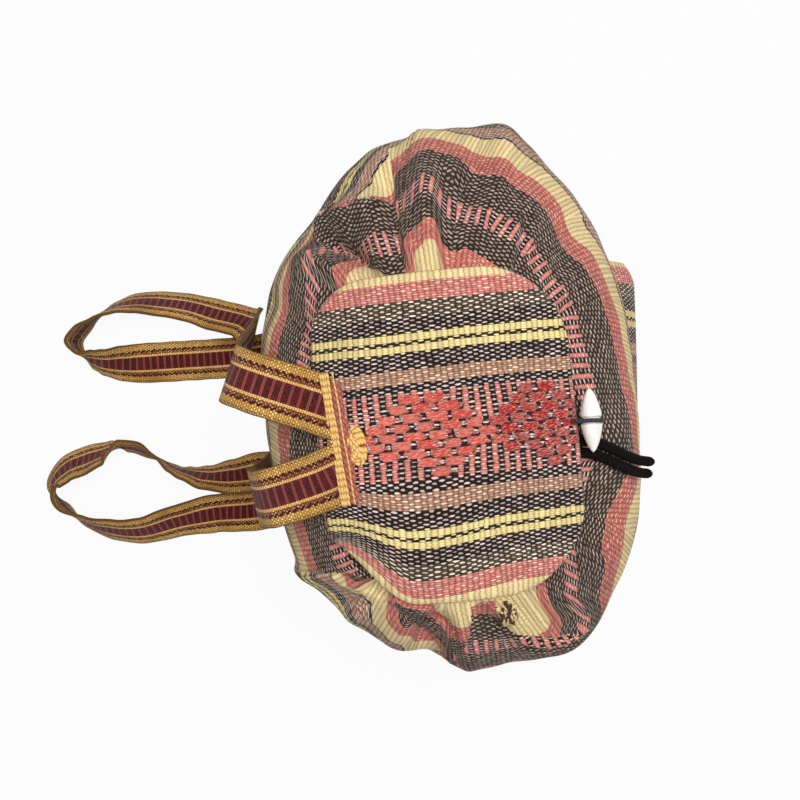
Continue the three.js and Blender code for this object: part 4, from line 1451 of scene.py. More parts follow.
@dataclass
class Drawstring:
    """Black braided drawstring: its run in the casing and its two free ends."""

    shape: BagShape
    reach: float = 78.0
    drift: float = -14.5
    finish: TwistedYarn = TwistedYarn(
        "black_cord", tone(20, 13, 13), tone(4, 2, 3), pitch=3.4, plies=4.0, crossed=True, relief=0.5,
        gloss=0.05)

    def hem_centre(self, angle: Array) -> Array:
        """Middle of the casing at angles round the mouth."""
        return self.shape.rim(angle) - np.array([0.0, 0.0, self.shape.hem_radius])

    def route(self, side: int) -> Array:
        """Gives the route of one free end, point for point as the frame has it.

        Args:
            side: 1 for the right end and -1 for the left one.

        Returns:
            Points of the centreline in millimetres.
        """
        shape = self.shape
        r = shape.cord_diameter / 2
        angle = np.array([shape.rim_angle(shape.cord_x + side * shape.notch_half)])
        x, y, z = self.hem_centre(angle)[0]
        points = [
            (x - side * 2 * shape.gap, y, z),
            (x - side * 0.7 * r, y, z),
            (shape.cord_x + side * 2.1 * r, y - 1.5 * r, z + r),
        ]
        start = shape.front_rim - shape.hem_reach - shape.notch_margin
        for share in np.linspace(0.0, 1.0, 10):
            py = start - share * self.reach + (1.5 * share if side < 0 else 0.0)
            px = shape.cord_x + side * 1.16 * r + self.drift * float(smoothstep(share, 0.35, 1.0))
            under = max(py, 14.0 + shape.front_y_most)
            lift = (r + 4 * shape.gap) * float(shape.slope_length(px, under))
            points.append((px, py, float(shape.shoulder_height(px, under)) + lift - 0.5 * (under - py)))
        return np.array(points)

    def build(self) -> None:
        """Makes both free ends and the run in the casing."""
        material = self.finish.dress()
        radius = self.shape.cord_diameter / 2
        for side, word in SIDES:
            route = SmoothPath(self.route(side))
            curve = route.at(np.linspace(0.0, 1.0, 97))
            work = Loom.cord(curve, radius, tip=0.5, sides=16)
            piece = Piece(f"cord_end_{word}", "black_cord", (f"drawstring_end_{word}",)).place(work, material)
            length = float(lengths(curve)[-1]) * METRES
            path = [tuple(spot) for spot in (route.at(np.linspace(0.0, 1.0, 25)) * METRES).tolist()]
        run = self.hem_centre(np.linspace(*self.shape.notch_ends(), 200))
        work = Loom.cord(run, radius, tip=0.6, sides=12)
        Piece("cord_run", "black_cord", ("drawstring_run",)).place(work, material)


@dataclass
class Pucker:
    """Gathered pucker on the front shoulder: small folds round a slit, whose dark tufts are painted shade
    inside the opening.

    Each tuft in the slit has its way beside the middle, its half length, its radius and its height.
    """

    shape: BagShape
    angle: float = 207.0
    down: float = 0.29
    lean: tuple[float, float, float] = (1.0, 0.3, 0.0)
    half_wide: float = 6.6
    half_long: float = 11.0
    hole: float = 0.12
    petals: float = 9.0
    petal_height: float = 4.4
    lift: float = 1.3
    crown: float = 2.4
    drop: float = 2.2
    cloth: float = 1.0
    threads: float = 7.0
    wave: float = 0.8
    wave_length: float = 1.6
    tufts: tuple[tuple[float, float, float, float], ...] = (
        (0.0, 8.5, 1.2, 1.7), (-2.9, 5.5, 0.8, 1.7), (-5.0, 3.2, 0.7, 1.5), (2.8, 4.2, 0.7, 1.5),
    )
    # Cream cloth on the folds' crests and near black in their grooves: the dark is painted shade between the
    # small folds.
    fold_finish: TwistedYarn = TwistedYarn(
        "pucker_folds", tone(244, 216, 160), tone(36, 22, 22), pitch=3.8, plies=5.0, crossed=True, relief=0.8)
    # Near-black yarn of the slit: painted shade inside the pucker's opening.
    slit_finish: TwistedYarn = TwistedYarn(
        "pucker_slit", tone(92, 66, 58), tone(26, 16, 18), pitch=2.4, plies=2.0, crossed=True, relief=0.4)

    def axes(self) -> tuple[Array, Array, Array, Array]:
        """Finds its place on the cloth.

        Returns:
            Its middle, and the directions across the slit, along the slit and off the cloth.
        """
        spot = np.array(self.angle), np.array(self.down)
        out = self.shape.body_normal(*spot)
        lean = np.array(self.lean)
        up = unit(lean - out * float(np.dot(lean, out)))
        return self.shape.body(*spot), np.cross(up, out), up, out

    def folds(self) -> None:
        """Makes the ring of uneven folds."""
        centre, side, up, out = self.axes()
        ring, turn = over_grid(np.linspace(self.hole, 1.0, 14), np.linspace(0.0, 2 * math.pi, 177))
        uneven = 0.7 + 0.3 * np.sin(3.0 * turn + 0.6)
        petal = np.cos(self.petals * turn + 0.8 * np.sin(2.0 * turn)) * uneven
        reach = ring * (1.0 + 0.1 * np.sin(5.0 * turn))
        high = self.lift + self.crown * ring * (1.0 - ring ** 2)
        high = high + self.petal_height * petal * ring * (1.1 - ring) - self.drop * ring ** 3
        points = centre + side * (self.half_wide * reach * np.cos(turn))[..., None]
        points = points + up * (self.half_long * reach * np.sin(turn))[..., None] + out * high[..., None]
        work = Loom.sheet(points, ring * self.threads, turn / (2 * math.pi))
        bmesh.ops.remove_doubles(work, verts=work.verts[:], dist=WELD)
        heading = sum((face.normal for face in work.faces), Vector())
        if heading.dot(Vector(out.tolist())) < 0:
            bmesh.ops.reverse_faces(work, faces=work.faces[:])
        Piece("pucker_folds", "striped_cloth", thickness=self.cloth).place(work, self.fold_finish.dress())

    def slit(self) -> None:
        """Lays the wavy dark tufts in the slit, painted dark for the shade inside the opening."""
        centre, side, up, out = self.axes()
        core = bmesh.new()
        for beside, half, radius, lift in self.tufts:
            way = np.linspace(-half, half, 40)
            line = centre + up * (way + 0.4 * beside)[:, None] + out * lift
            line = line + side * (beside + self.wave * np.sin(way / self.wave_length + beside))[:, None]
            Loom.join(core, Loom.cord(line, radius, tip=0.5, sides=10))
        Piece("pucker_slit", "striped_cloth").place(core, self.slit_finish.dress())

    def build(self) -> None:
        """Makes the folds and the slit."""
        self.folds()
        self.slit()


@dataclass
class BagBody:
    """Cloth walls, shoulder, casing and base of the bag."""

    shape: BagShape
    pick: float = 2.9
    end: float = 1.25
    band_top: float = 0.45
    lays: tuple[Lay, ...] = (OPEN_CLOTH, UNDER_TUCK, OVER_TUCK, SIDE_TUCK, FRONT_TUCK)
    cloth: StripedCloth = StripedCloth("striped_cloth", BODY_STRIPES, seed=1.0)
    plain: StripedCloth = StripedCloth("base_cloth", BASE_STRIPES, seed=4.0)

    def seam(self, side: int, along: Array) -> Array:
        """Angle of a side seam, which wanders a little on the way up."""
        up = smoothstep(along, 1.0, 2.0)
        return 7.0 + 20.0 * up if side > 0 else 180.0 - 4.0 * up

    def rows(self, low: float, high: float, count: int) -> Array:
        """Spaces places up the wall for about even steps of cloth.

        Args:
            low: Lowest place.
            high: Highest place.
            count: Number of steps.

        Returns:
            The places.
        """
        fine = np.linspace(low, high, 400)
        length = lengths(self.shape.smooth_body(np.full_like(fine, 270.0), 2.0 - fine))
        return np.interp(np.linspace(0.0, length[-1], count + 1), length, fine)

    def lay_threads(self, angle: Array, along: Array) -> Array:
        """Lays the yarns on a panel: stripes go round the bag, and each gore between pleats keeps its pick.

        Args:
            angle: Angles of the grid's points.
            along: Way up of the grid's points.

        Returns:
            Threads of each face's four corners.
        """
        smooth = self.shape.smooth_body(angle, 2.0 - along)
        way = lengths(smooth, 1)
        below = lengths(smooth[::-1])[::-1]
        rows, columns = angle.shape[0] - 1, angle.shape[1] - 1
        shoulder, belly = (int(np.argmin(np.abs(along[:, 0] - height))) for height in (1.5, 1.0))
        turns = (turn_between(angle[shoulder], pleat[0]) for pleat in self.shape.pleats)
        valleys = {int(np.argmin(np.abs(turn))) for turn in turns}
        inner = sorted(valley for valley in valleys if 2 < valley < columns - 2)
        bounds = np.array([0, *inner, columns])
        gore = np.searchsorted(bounds, np.arange(columns), side="right") - 1
        centre = ((bounds[:-1] + bounds[1:]) // 2)[gore]
        back = way[:, centre] - way[belly, centre]
        down = 2.0 - along
        face_angle = (angle[:-1, :-1] + angle[1:, 1:]) / 2
        face_down = (down[:-1, :-1] + down[1:, 1:]) / 2
        ends = [below + lay.shift(angle, down) for lay in self.lays]
        held = [lay.holds(face_angle, face_down) for lay in self.lays]
        threads = np.zeros((rows, columns, 2, 2, 2))
        for up, side in np.ndindex(2, 2):
            part = np.s_[up:rows + up, side:columns + side]
            end = ends[0][part]
            for inside, other in zip(held[1:], ends[1:]):
                end = np.where(inside, other[part], end)
            threads[:, :, up, side, 0] = (way[part] - back[part[0]]) / self.pick
            threads[:, :, up, side, 1] = end / self.end
        return threads

    def panel(self, piece: Piece, edges: tuple[Array, Array], columns: int, rows: Array,
              material: Material) -> bpy.types.Object:
        """Makes one cloth panel of the wall.

        Args:
            piece: Name, slot, nodes and thickness of the panel.
            edges: Angles of its first and last edge at each row.
            columns: Faces around.
            rows: Places up the wall.
            material: Its cloth.

        Returns:
            The panel.
        """
        first, last = edges
        along, share = over_grid(rows, np.linspace(0.0, 1.0, columns + 1))
        angle = lerp(first[:, None], last[:, None], share)
        work = Loom.grid(self.shape.body(angle, 2.0 - along), self.lay_threads(angle, along))
        self.cut_notch(work)
        return piece.place(work, material)

    def cut_notch(self, work: Mesh) -> None:
        """Cuts the cloth away at the middle of the front rim, where the drawstring comes out.

        Args:
            work: Panel in metres.
        """
        shape = self.shape
        inner, lowest = 12.0, 215.0
        front = shape.front_rim - shape.hem_reach - shape.notch_margin
        gone = []
        for face in work.faces:
            x, y, z = face.calc_center_median() / METRES
            beside = abs(x - shape.cord_x) < shape.notch_half
            if beside and front < y < shape.front_rim + inner and z > lowest:
                gone.append(face)
        bmesh.ops.delete(work, geom=gone, context="FACES")

    def casing(self, material: Material) -> bpy.types.Object:
        """Makes the casing that is turned in round the drawstring.

        Args:
            material: Its cloth.

        Returns:
            The casing.
        """
        shape = self.shape
        gathers, depth, hollow = 46.0, 0.7, 0.4
        mean_radius, first_end, ends = 62.0, 8.0, 5.0
        rows = np.concatenate([np.linspace(2.006, 3.0, 17), np.linspace(3.06, 4.0, 10)])
        along, angle = over_grid(rows, np.linspace(*shape.notch_ends(), 361))
        inward = shape.into_mouth(angle)
        rim = shape.rim(angle)
        turn = (np.minimum(along, 3.0) - 2.0) * math.pi
        r = shape.hem_radius
        rolled = rim + inward * (r * np.sin(turn))[..., None]
        rolled[..., 2] += r * np.cos(turn) - r
        share = np.clip(along - 3.0, 0.0, 1.0)
        tucked = rim - inward * (share * shape.hem_reach)[..., None]
        fall = lerp(2 * r, 2 * shape.cloth + 3 * shape.gap, smoothstep(share, 0.25, 1.0))
        tucked[..., 2] = shape.shoulder_height(tucked[..., 0], tucked[..., 1]) - fall
        points = np.where((along <= 3.0)[..., None], rolled, tucked)
        gather = depth * np.sin(np.radians(angle) * gathers) * smoothstep(along, 2.02, 2.3)
        gather = gather * (1.0 - smoothstep(along, 3.0, 3.3))
        points = points - inward * np.maximum(gather, -hollow)[..., None]
        way = np.radians(angle) * mean_radius
        work = Loom.sheet(points, way / self.pick, first_end - (along - 2.0) * ends)
        return Piece("mouth_hem", "striped_cloth", ("mouth_casing",), shape.cloth).place(work, material)

    def base(self, material: Material) -> bpy.types.Object:
        """Makes the oval base cloth that the bag stands on.

        Args:
            material: Its cloth.

        Returns:
            The base.
        """
        shape = self.shape
        ring, turn = over_grid(np.linspace(0.02, 1.0, 26), np.linspace(0.0, -2 * math.pi, 121))
        x = ring * (shape.base_width / 2 - shape.gap) * np.cos(turn)
        y = ring * (shape.base_depth / 2 - shape.gap) * np.sin(turn)
        z = shape.cloth + 0.5 * np.sin(x / 19.0) * np.sin(y / 23.0) * (1.0 - ring ** 4)
        work = Loom.sheet(np.stack([x, y, z], axis=-1), x / self.pick, y / self.end + 200.0)
        bmesh.ops.remove_doubles(work, verts=work.verts[:], dist=WELD)
        inner = [e for e in work.edges if e.is_boundary and e.calc_length() < 0.001]
        bmesh.ops.holes_fill(work, edges=inner, sides=0)
        bmesh.ops.recalc_face_normals(work, faces=work.faces[:])
        if sum(face.normal.z for face in work.faces) < 0:
            bmesh.ops.reverse_faces(work, faces=work.faces[:])
        return Piece("base_cloth", "base_cloth", ("base_panel",), shape.cloth - 0.4).place(work, material)

    def sew(self, piece: Piece, angle: Array, along: Array, stitch: tuple[float, float, float],
            thread: Material) -> None:
        """Sews one row of stitches on the wall.

        Args:
            piece: Name and slot of the row.
            angle: Angles along the seam.
            along: Ways up along the seam.
            stitch: Length, way to the next stitch and thickness.
            thread: Finish of the thread.
        """
        out = self.shape.body_normal(angle, 2.0 - along)
        path = self.shape.body(angle, 2.0 - along) + out * 0.25
        piece.place(Loom.stitches(path, out, *stitch), thread)

    def seam_stitches(self) -> None:
        """Sews the rows of stitches beside the side seams and round the foot."""
        thread = SewingThread("seam_thread", tone(150, 132, 98), tone(74, 60, 44)).dress()
        apart, top, above, below = 0.99, 1.72, 0.03, 0.035
        along = np.linspace(self.band_top + above, top, 160)
        for side, word in SIDES:
            for way, part in ((apart, "back"), (-apart, "front")):
                piece = Piece(f"seam_stitches_{word}_{part}", "striped_cloth")
                self.sew(piece, self.seam(side, along) + side * way, along, (4.2, 6.0, 0.7), thread)
        angle = np.linspace(0.0, 360.0, 400)
        along = np.full_like(angle, self.band_top - below)
        self.sew(Piece("foot_stitches", "base_cloth"), angle, along, (4.6, 6.4, 0.9), thread)

    def build(self) -> None:
        """Makes all the cloth of the body, with the pucker and the stitches."""
        striped = self.cloth.dress()
        plain = self.plain.dress()
        cloth, gap = self.shape.cloth, 0.003
        steps, columns, band_steps, band_columns = 170, 250, 22, 360
        rows = self.rows(self.band_top + gap, 2.0 - gap, steps)
        right, left = (self.seam(side, rows) for side, _ in SIDES)
        back = self.panel(Piece("back_cloth", "striped_cloth", ("back_panel",), cloth),
                          (right, left), columns, rows, striped)
        front = self.panel(Piece("front_cloth", "striped_cloth", ("front_panel",), cloth),
                           (left, right + 360.0), columns, rows, striped)
        rows = self.rows(0.0, self.band_top - gap, band_steps)
        foot = self.seam(1, 0.0 * rows)
        band = self.panel(Piece("foot_band", "base_cloth", ("base_band_back", "base_band_front"), cloth),
                          (foot, foot + 360.0), band_columns, rows, plain)
        casing = self.casing(striped)
        base = self.base(plain)
        Pucker(self.shape).build()
        self.seam_stitches()


class Turned:
    """What lies turned on the shoulder, with level directions of its own from a root."""

    root: tuple[float, float]
    turn: float

    @property
    def along(self) -> Array:
        """Level direction towards the flap's free edge."""
        t = math.radians(self.turn)
        return np.array([math.sin(t), -math.cos(t)])

    @property
    def across(self) -> Array:
        """Level direction at right angles to it, towards +X."""
        t = math.radians(self.turn)
        return np.array([math.cos(t), math.sin(t)])

    def level(self, way: Array, side: Array) -> tuple[Array, Array]:
        """X and Y at a way along and a way across from the root."""
        x, y = (self.root[k] + self.along[k] * way + self.across[k] * side for k in (0, 1))
        return x, y


@dataclass
class TopFlap(Turned):
    """Brocade flap that lies over the mouth."""

    shape: BagShape
    width: float = 182.0
    length: float = 142.5
    turn: float = 5.5
    root: tuple[float, float] = (-26.5, 78.0)
    root_rounding: float = 34.0
    tip_rounding: float = 48.0
    drawn_in: float = 26.0
    drawn_way: tuple[float, float] = (4.0, 46.0)
    drawn_side: tuple[float, float] = (38.0, 92.0)
    hem: tuple[float, float] = (5.5, 8.0)
    hem_rise: float = 0.7
    roll_wide: float = 3.2
    roll_drop: float = 2.2
    lift: float = 0.6
    diamond_at: float = 60.5
    pick: float = 2.85
    pick_opens: float = 0.55
    pick_closes: float = 0.5
    opens_at: float = 55.0
    end: float = 1.2466
    middle_end: float = 72.6
    stripes_centre: float = 74.0

    @property
    def tip(self) -> tuple[float, float]:
        """X and Y of the middle of the free edge."""
        x, y = self.level(self.length, 0.0)
        return float(x), float(y)

    def half_width(self, way: Array) -> Array:
        """Gives half the flap's width.

        Args:
            way: Way from the root.

        Returns:
            Half widths in millimetres.
        """

        def rounded(radius: float, reach: Array) -> Array:
            """How much a corner's rounding takes off."""
            inner = np.clip(radius - reach, 0.0, radius)
            return radius - np.sqrt(np.maximum(radius ** 2 - inner ** 2, 0.0))

        tip = rounded(self.tip_rounding, self.length - way)
        return self.width / 2 - rounded(self.root_rounding, way) - tip

    def picks(self, way: Array) -> Array:
        """Counts the picks from the root, which are more open in the middle.

        Args:
            way: Way from the root.

        Returns:
            Number of picks up to there.
        """
        fine = np.linspace(0.0, self.length, 400)
        pitch = self.pick + self.pick_opens * bell((fine - self.opens_at) / 40.0)
        pitch = pitch - self.pick_closes * bell(fine / 22.0)
        count = np.concatenate([[0.0], np.cumsum(np.diff(fine) / ((pitch[1:] + pitch[:-1]) / 2))])
        return np.interp(way, fine, count)

    def surface(self, way: Array, side: Array, half: Array) -> Array:
        """Gives the flap's upper face with its hem, soft waves and the corner that is drawn in.

        Args:
            way: Way from the root.
            side: Way across from the middle.
            half: Half width there.

        Returns:
            Points in millimetres.
        """
        drawn = self.drawn_in * (1.0 - smoothstep(way, *self.drawn_way)) * smoothstep(-side, *self.drawn_side)
        x, y = self.level(way, side + drawn)
        z = self.shape.flap_top(x, y)
        inset = np.minimum(np.minimum(half - np.abs(side), way), self.length - way)
        roll = np.clip(1.0 - inset / self.roll_wide, 0.0, 1.0)
        z = z - self.roll_drop * (1.0 - np.sqrt(np.maximum(1.0 - roll ** 2, 0.0)))
        z = z + self.hem_rise * (1.0 - smoothstep(inset, *self.hem))
        wave = 0.9 * np.sin(side / 17.0 + way / 40.0) * smoothstep(way, 40.0, 140.0)
        wave = wave + 0.6 * np.sin(way / 13.0 - side / 30.0)
        return np.stack([x, y, z + wave + self.lift], axis=-1)

    def build(self) -> None:
        """Makes the flap."""
        rows, columns = 171, 201
        share = (1.0 - np.cos(np.linspace(0.0, math.pi, rows))) / 2
        even = np.linspace(-1.0, 1.0, columns)
        spread = 0.7 * even + 0.3 * np.sin(np.linspace(-math.pi / 2, math.pi / 2, columns))
        way, spread = over_grid(share * self.length, spread)
        half = self.half_width(way)
        side = half * spread
        pulled = 5.5 * bell((way - 52.0) / 35.0) - 5.0 * bell((way - 8.0) / 22.0)
        row = side + pulled * smoothstep(-side, 15.0, 45.0)
        ends = row / self.end + self.middle_end
        work = Loom.sheet(self.surface(way, side, half), self.picks(way), ends)
        bmesh.ops.reverse_faces(work, faces=work.faces[:])
        diamonds = Diamonds(round(float(self.picks(np.array(self.diamond_at)))))
        cloth = StripedCloth("brocade_cloth", FLAP_STRIPES, self.stripes_centre, diamonds, seed=2.0)
        piece = Piece("flap_cloth", "brocade_cloth", ("top_flap",), self.shape.cloth)
        made = piece.place(work, cloth.dress())


StrapPlace = tuple[float, float, float, float, float]


@dataclass
class Strap:
    """Belt-woven shoulder strap, from the flap's root down to the table, round a loop and back to the foot.

    Each place has its x, its way behind the bag, the height under it, its heading and its roll in degrees.
    """

    shape: BagShape
    flap: TopFlap
    anchor: "Anchor"
    word: str
    places: tuple[StrapPlace, ...]
    start_x: float
    tilt: float
    foot_x: float
    width: float = 34.0
    thickness: float = 3.0
    shown_thickness: float = 2.4
    cut: float = -1.5
    lift: float = 0.2

    def height(self, under: float, roll: float) -> float:
        """Gives the height of the strap's middle over the surface under it.

        Args:
            under: Height of that surface.
            roll: Roll of the strap in degrees.

        Returns:
            Height in millimetres.
        """
        t = math.radians(roll)
        lean = abs(math.sin(t)) * self.width / 2
        return under + lean + abs(math.cos(t)) * self.thickness / 2 + self.lift

    def start(self) -> list[StrapPlace]:
        """Finds the places on the flap's root, where the end is stitched down.

        Returns:
            The first places.
        """
        made = []
        t = math.radians(self.tilt)
        reach = np.linspace(-1.0, 1.0, 9) * self.width / 2
        for way in (-14.0, 0.0, 14.0):
            x = self.start_x + way * math.sin(t)
            y = self.flap.root[1] - 13.0 + way * math.cos(t)
            top = np.max(self.shape.flap_top(x + reach * math.cos(t), y - reach * math.sin(t)))
            made.append((x, y - self.shape.back_y, float(top) + 3 * self.shape.gap, -self.tilt, 0.0))
        return made

    def finish(self) -> list[StrapPlace]:
        """Finds the last places, square to the foot of the wall.

        Returns:
            The last places.
        """
        shape = self.shape
        angle = math.degrees(math.acos(2 * self.foot_x / shape.body_width))
        down = 2.0
        foot = shape.smooth_body(np.array(angle), np.array(down))
        while foot[2] < self.thickness + 1.0 and down > 1.0:
            down -= 0.002
            foot = shape.smooth_body(np.array(angle), np.array(down))
        t = math.radians(angle)
        out = unit(np.array([math.cos(t) * shape.base_depth, math.sin(t) * shape.base_width]))
        heading = math.degrees(math.atan2(-out[0], -out[1]))
        return [(foot[0] + out[0] * way, foot[1] + out[1] * way - shape.back_y, 0.0, 360.0 - heading, 0.0)
                for way in (24.0, 12.0, 0.9)]

    def surface(self, per_place: int, columns: int) -> tuple[Array, Array, Array]:
        """Gives the strap's middle face and its threads.

        Args:
            per_place: Rows from one given place to the next.
            columns: Faces across.

        Returns:
            Points, ways along by row and ways across by column, in millimetres.
        """
        places = [*self.start(), *self.places, *self.finish()]
        spots = [(x, self.shape.back_y + out, self.height(under, roll)) for x, out, under, _, roll in places]
        heading = np.radians([place[3] for place in places])
        roll = np.radians([place[4] for place in places])
        level = np.cos(roll)
        widths = np.stack([level * np.cos(heading), level * np.sin(heading), -np.sin(roll)], axis=-1)
        last = len(places) - 1
        share = np.linspace(0.0, 1.0, last * per_place + 1)
        curve = SmoothPath(np.array(spots))
        at = curve.at(share)
        ahead = unit(curve.at(np.minimum(share + 1e-4, 1.0)) - curve.at(np.maximum(share - 1e-4, 0.0)))
        place = share * last
        low = np.minimum(np.floor(place).astype(int), last - 1)
        wide = lerp(widths[low], widths[low + 1], smoothstep(place - low, 0.0, 1.0)[:, None])
        wide = unit(wide - ahead * np.sum(wide * ahead, axis=1)[:, None])
        out = unit(np.cross(wide, ahead))
        room = self.lift + (np.abs(wide[:, 2]) * self.width + np.abs(out[:, 2]) * self.thickness) / 2
        at[:, 2] = np.maximum(at[:, 2], room)
        across = np.linspace(-0.5, 0.5, columns + 1) * self.width
        points = at[:, None] + wide[:, None] * across[:, None]
        way = lengths(at)
        edge = 0.35 * np.sin(way / 3.1)[:, None] * (np.abs(across) > 0.49 * self.width)
        points = points + wide[:, None] * (edge * np.sign(across))[..., None] * 0.5
        return points, way, across

    def build(self, material: Material) -> None:
        """Makes the strap.

        Args:
            material: The webbing.
        """
        columns = 12
        points, way, across = self.surface(10, columns)
        work = Loom.sheet(points, *over_grid(way, across))
        spot = self.anchor.at(np.array(0.0), np.array(self.cut), 0.0)
        bmesh.ops.bisect_plane(
            work, geom=work.verts[:] + work.edges[:] + work.faces[:], dist=1e-7,
            plane_co=(spot * METRES).tolist(),
            plane_no=(self.anchor.along[0], self.anchor.along[1], 0.0), clear_outer=True)
        piece = Piece(f"strap_belt_{self.word}", "belt_webbing", (f"strap_{self.word}",),
                      self.shown_thickness, offset=0.0)
        made = piece.place(work, material)
        length = float(lengths(points[:, columns // 2])[-1]) * METRES


STRAP_RIGHT = (
    (13.5, 1.5, 224, -19, 0), (19, 9, 196, -15, 0), (30, 13, 145, -10, 0), (44, 18, 88, -10, 0),
    (57, 25, 36, -12, 8), (62, 32, 9, -12, 26), (66, 41, 1, -12, 39), (71.5, 63, 0, -13, 38),
    (77.5, 85, 0, -11, 46), (80.5, 108, 0, -5, 50), (81, 129, 0, 6, 57), (77, 146, 0, 22, 67),
    (69, 161, 0, 34, 77), (58.5, 173, 0, 48, 89), (48, 179.5, 0, 97, 90), (38, 173.5, 0, 135, 84),
    (33, 163, 0, 158, 62), (31, 155, 0, 172, 54), (30.5, 140, 0, 180, 36), (31, 126, 0, 183, 20),
    (33, 97, 0, 183, 0), (35, 65, 0, 184, 0), (38, 32, 0, 184, 0),
)
STRAP_LEFT = (
    (-56, -17, 223, 17, 0), (-58, -6, 201, 13, 0), (-59, -1, 165, 10, 0), (-60, 4, 110, 9, 0),
    (-60, 9, 55, 9, 0), (-60, 15, 15, 10, 3), (-60.5, 24, 2, 10, 10), (-64, 47, 0, 5, 40),
    (-64.5, 70, 0, -6, 64), (-61, 85, 0, -14, 80), (-57.5, 96, 0, -26, 90), (-49.5, 108, 0, -30, 101),
    (-41.5, 123, 0, -18, 113), (-38.5, 138, 0, -7, 108), (-40, 145, 0, 14, 88), (-44.5, 154, 0, 23, 60),
    (-50.5, 171, 0, 26, 48), (-57.5, 187, 0, 44, 47), (-71, 197.5, 0, 83, 52), (-88.5, 188.5, 0, 131, 82),
    (-102, 169, 0, 155, 64), (-108.5, 147, 0, 170, 53), (-109.5, 124, 0, 187, 47), (-101.5, 94, 0, 193, 37),
    (-96, 64, 0, 186, 16), (-94, 30, 0, 182, 0),
)


@dataclass
class Anchor(Turned):
    """Gold braid across both strap ends, the woven strip beside it and the tab of gold yarn.

    Each strand has its way from the middle, its radius and its height over the flap, and each coil of the
    tab has its half length and half width.
    """

    shape: BagShape
    length: float = 74.0
    turn: float = 10.0
    root: tuple[float, float] = (-21.5, 68.0)
    strip_ends: tuple[float, float] = (-36.0, 30.0)
    strip_from: float = 1.4
    strip_width: float = 6.0
    strip_lift: float = 4.3
    strip_fall: float = 2.2
    strip_cloth: float = 1.6
    tab_side: float = -5.5
    tab_way: float = 10.6
    tab_lift: float = 1.5
    tab_yarn: float = 1.05
    coils: tuple[tuple[float, float], ...] = ((10.2, 4.6), (8.2, 3.0), (5.8, 1.4))
    spine_half: float = 4.6
    spine_lift: float = 2.5
    spine_yarn: float = 0.9
    strands: tuple[tuple[float, float, float], ...] = (
        (-2.5, 0.8, 5.5), (-1.3, 0.75, 6.1), (-0.1, 0.7, 5.6), (1.1, 0.8, 6.0), (4.4, 0.5, 4.4),
    )
    strip_finish: TwistedYarn = TwistedYarn(
        "strip_weave", tone(190, 112, 98), tone(88, 34, 36), pitch=4.4, plies=2.0, crossed=True, relief=0.5)
    finish: TwistedYarn = TwistedYarn(
        "gold_trim", tone(248, 206, 126), tone(150, 100, 54), pitch=3.7, plies=1.0, crossed=False, relief=0.3,
        gloss=0.5)

    def at(self, side: Array, way: Array, lift: float) -> Array:
        """Points beside the braid's middle, at a height over the flap."""
        x, y = self.level(way, side)
        return np.stack([x, y, self.shape.flap_top(x, y) + lift], axis=-1)

    def build(self) -> None:
        """Makes the strands of the braid with the thin thread beside them, the strip and the tab."""
        gold = self.finish.dress()
        side = np.linspace(-self.length / 2, self.length / 2, 150)
        braid = bmesh.new()
        for way, radius, lift in self.strands:
            line = self.at(side, way + 0.2 * np.sin(side / 5.0 + way), lift)
            line[:, 2] += 0.15 * np.sin(side / 3.0 + 2.0 * way)
            Loom.join(braid, Loom.cord(line, radius, tip=0.5, sides=10))
        Piece("anchor_braid", "gold_trim", ("strap_anchor_band",)).place(braid, gold)
        self.strip()
        self.tab(gold)

    def strip(self) -> None:
        """Makes the narrow wavy strip of webbing that shows beside the braid."""
        share, side = over_grid(np.linspace(0.0, 1.0, 8), np.linspace(*self.strip_ends, 133))
        ragged = 0.6 * np.sin(side * 0.83 + 1.0) + 0.4 * np.sin(side * 0.31)
        way = self.strip_from + share * (self.strip_width + ragged)
        points = self.at(side, way, 0.0)
        points[..., 2] += self.strip_lift - self.strip_fall * share ** 2 + 0.5 * np.sin(side * 0.7) * share
        work = Loom.sheet(points, side, share)
        bmesh.ops.reverse_faces(work, faces=work.faces[:])
        piece = Piece("anchor_strip", "belt_webbing", thickness=self.strip_cloth)
        piece.place(work, self.strip_finish.dress())

    def tab(self, gold: Material) -> None:
        """Makes the small oval tab of coiled gold yarn beside the braid.

        Args:
            gold: Finish of the braid.
        """
        made = bmesh.new()
        for ring, (half_long, half_wide) in enumerate(self.coils):
            turn = np.linspace(0.0, 2 * math.pi * 0.985, 64)
            side = self.tab_side + half_long * np.sin(turn)
            way = self.tab_way + half_wide * np.cos(turn)
            line = self.at(side, way, 0.0)
            line[:, 2] += self.tab_lift + 0.35 * ring + 0.25 * np.sin(5.0 * turn + ring)
            Loom.join(made, Loom.cord(line, self.tab_yarn, tip=0.6, sides=8))
        spine = np.linspace(-self.spine_half, self.spine_half, 12)
        line = self.at(self.tab_side + spine, np.full_like(spine, self.tab_way), self.spine_lift)
        Loom.join(made, Loom.cord(line, self.spine_yarn, tip=0.6, sides=8))
        Piece("anchor_tuft", "gold_trim", ("anchor_tab",)).place(made, gold)


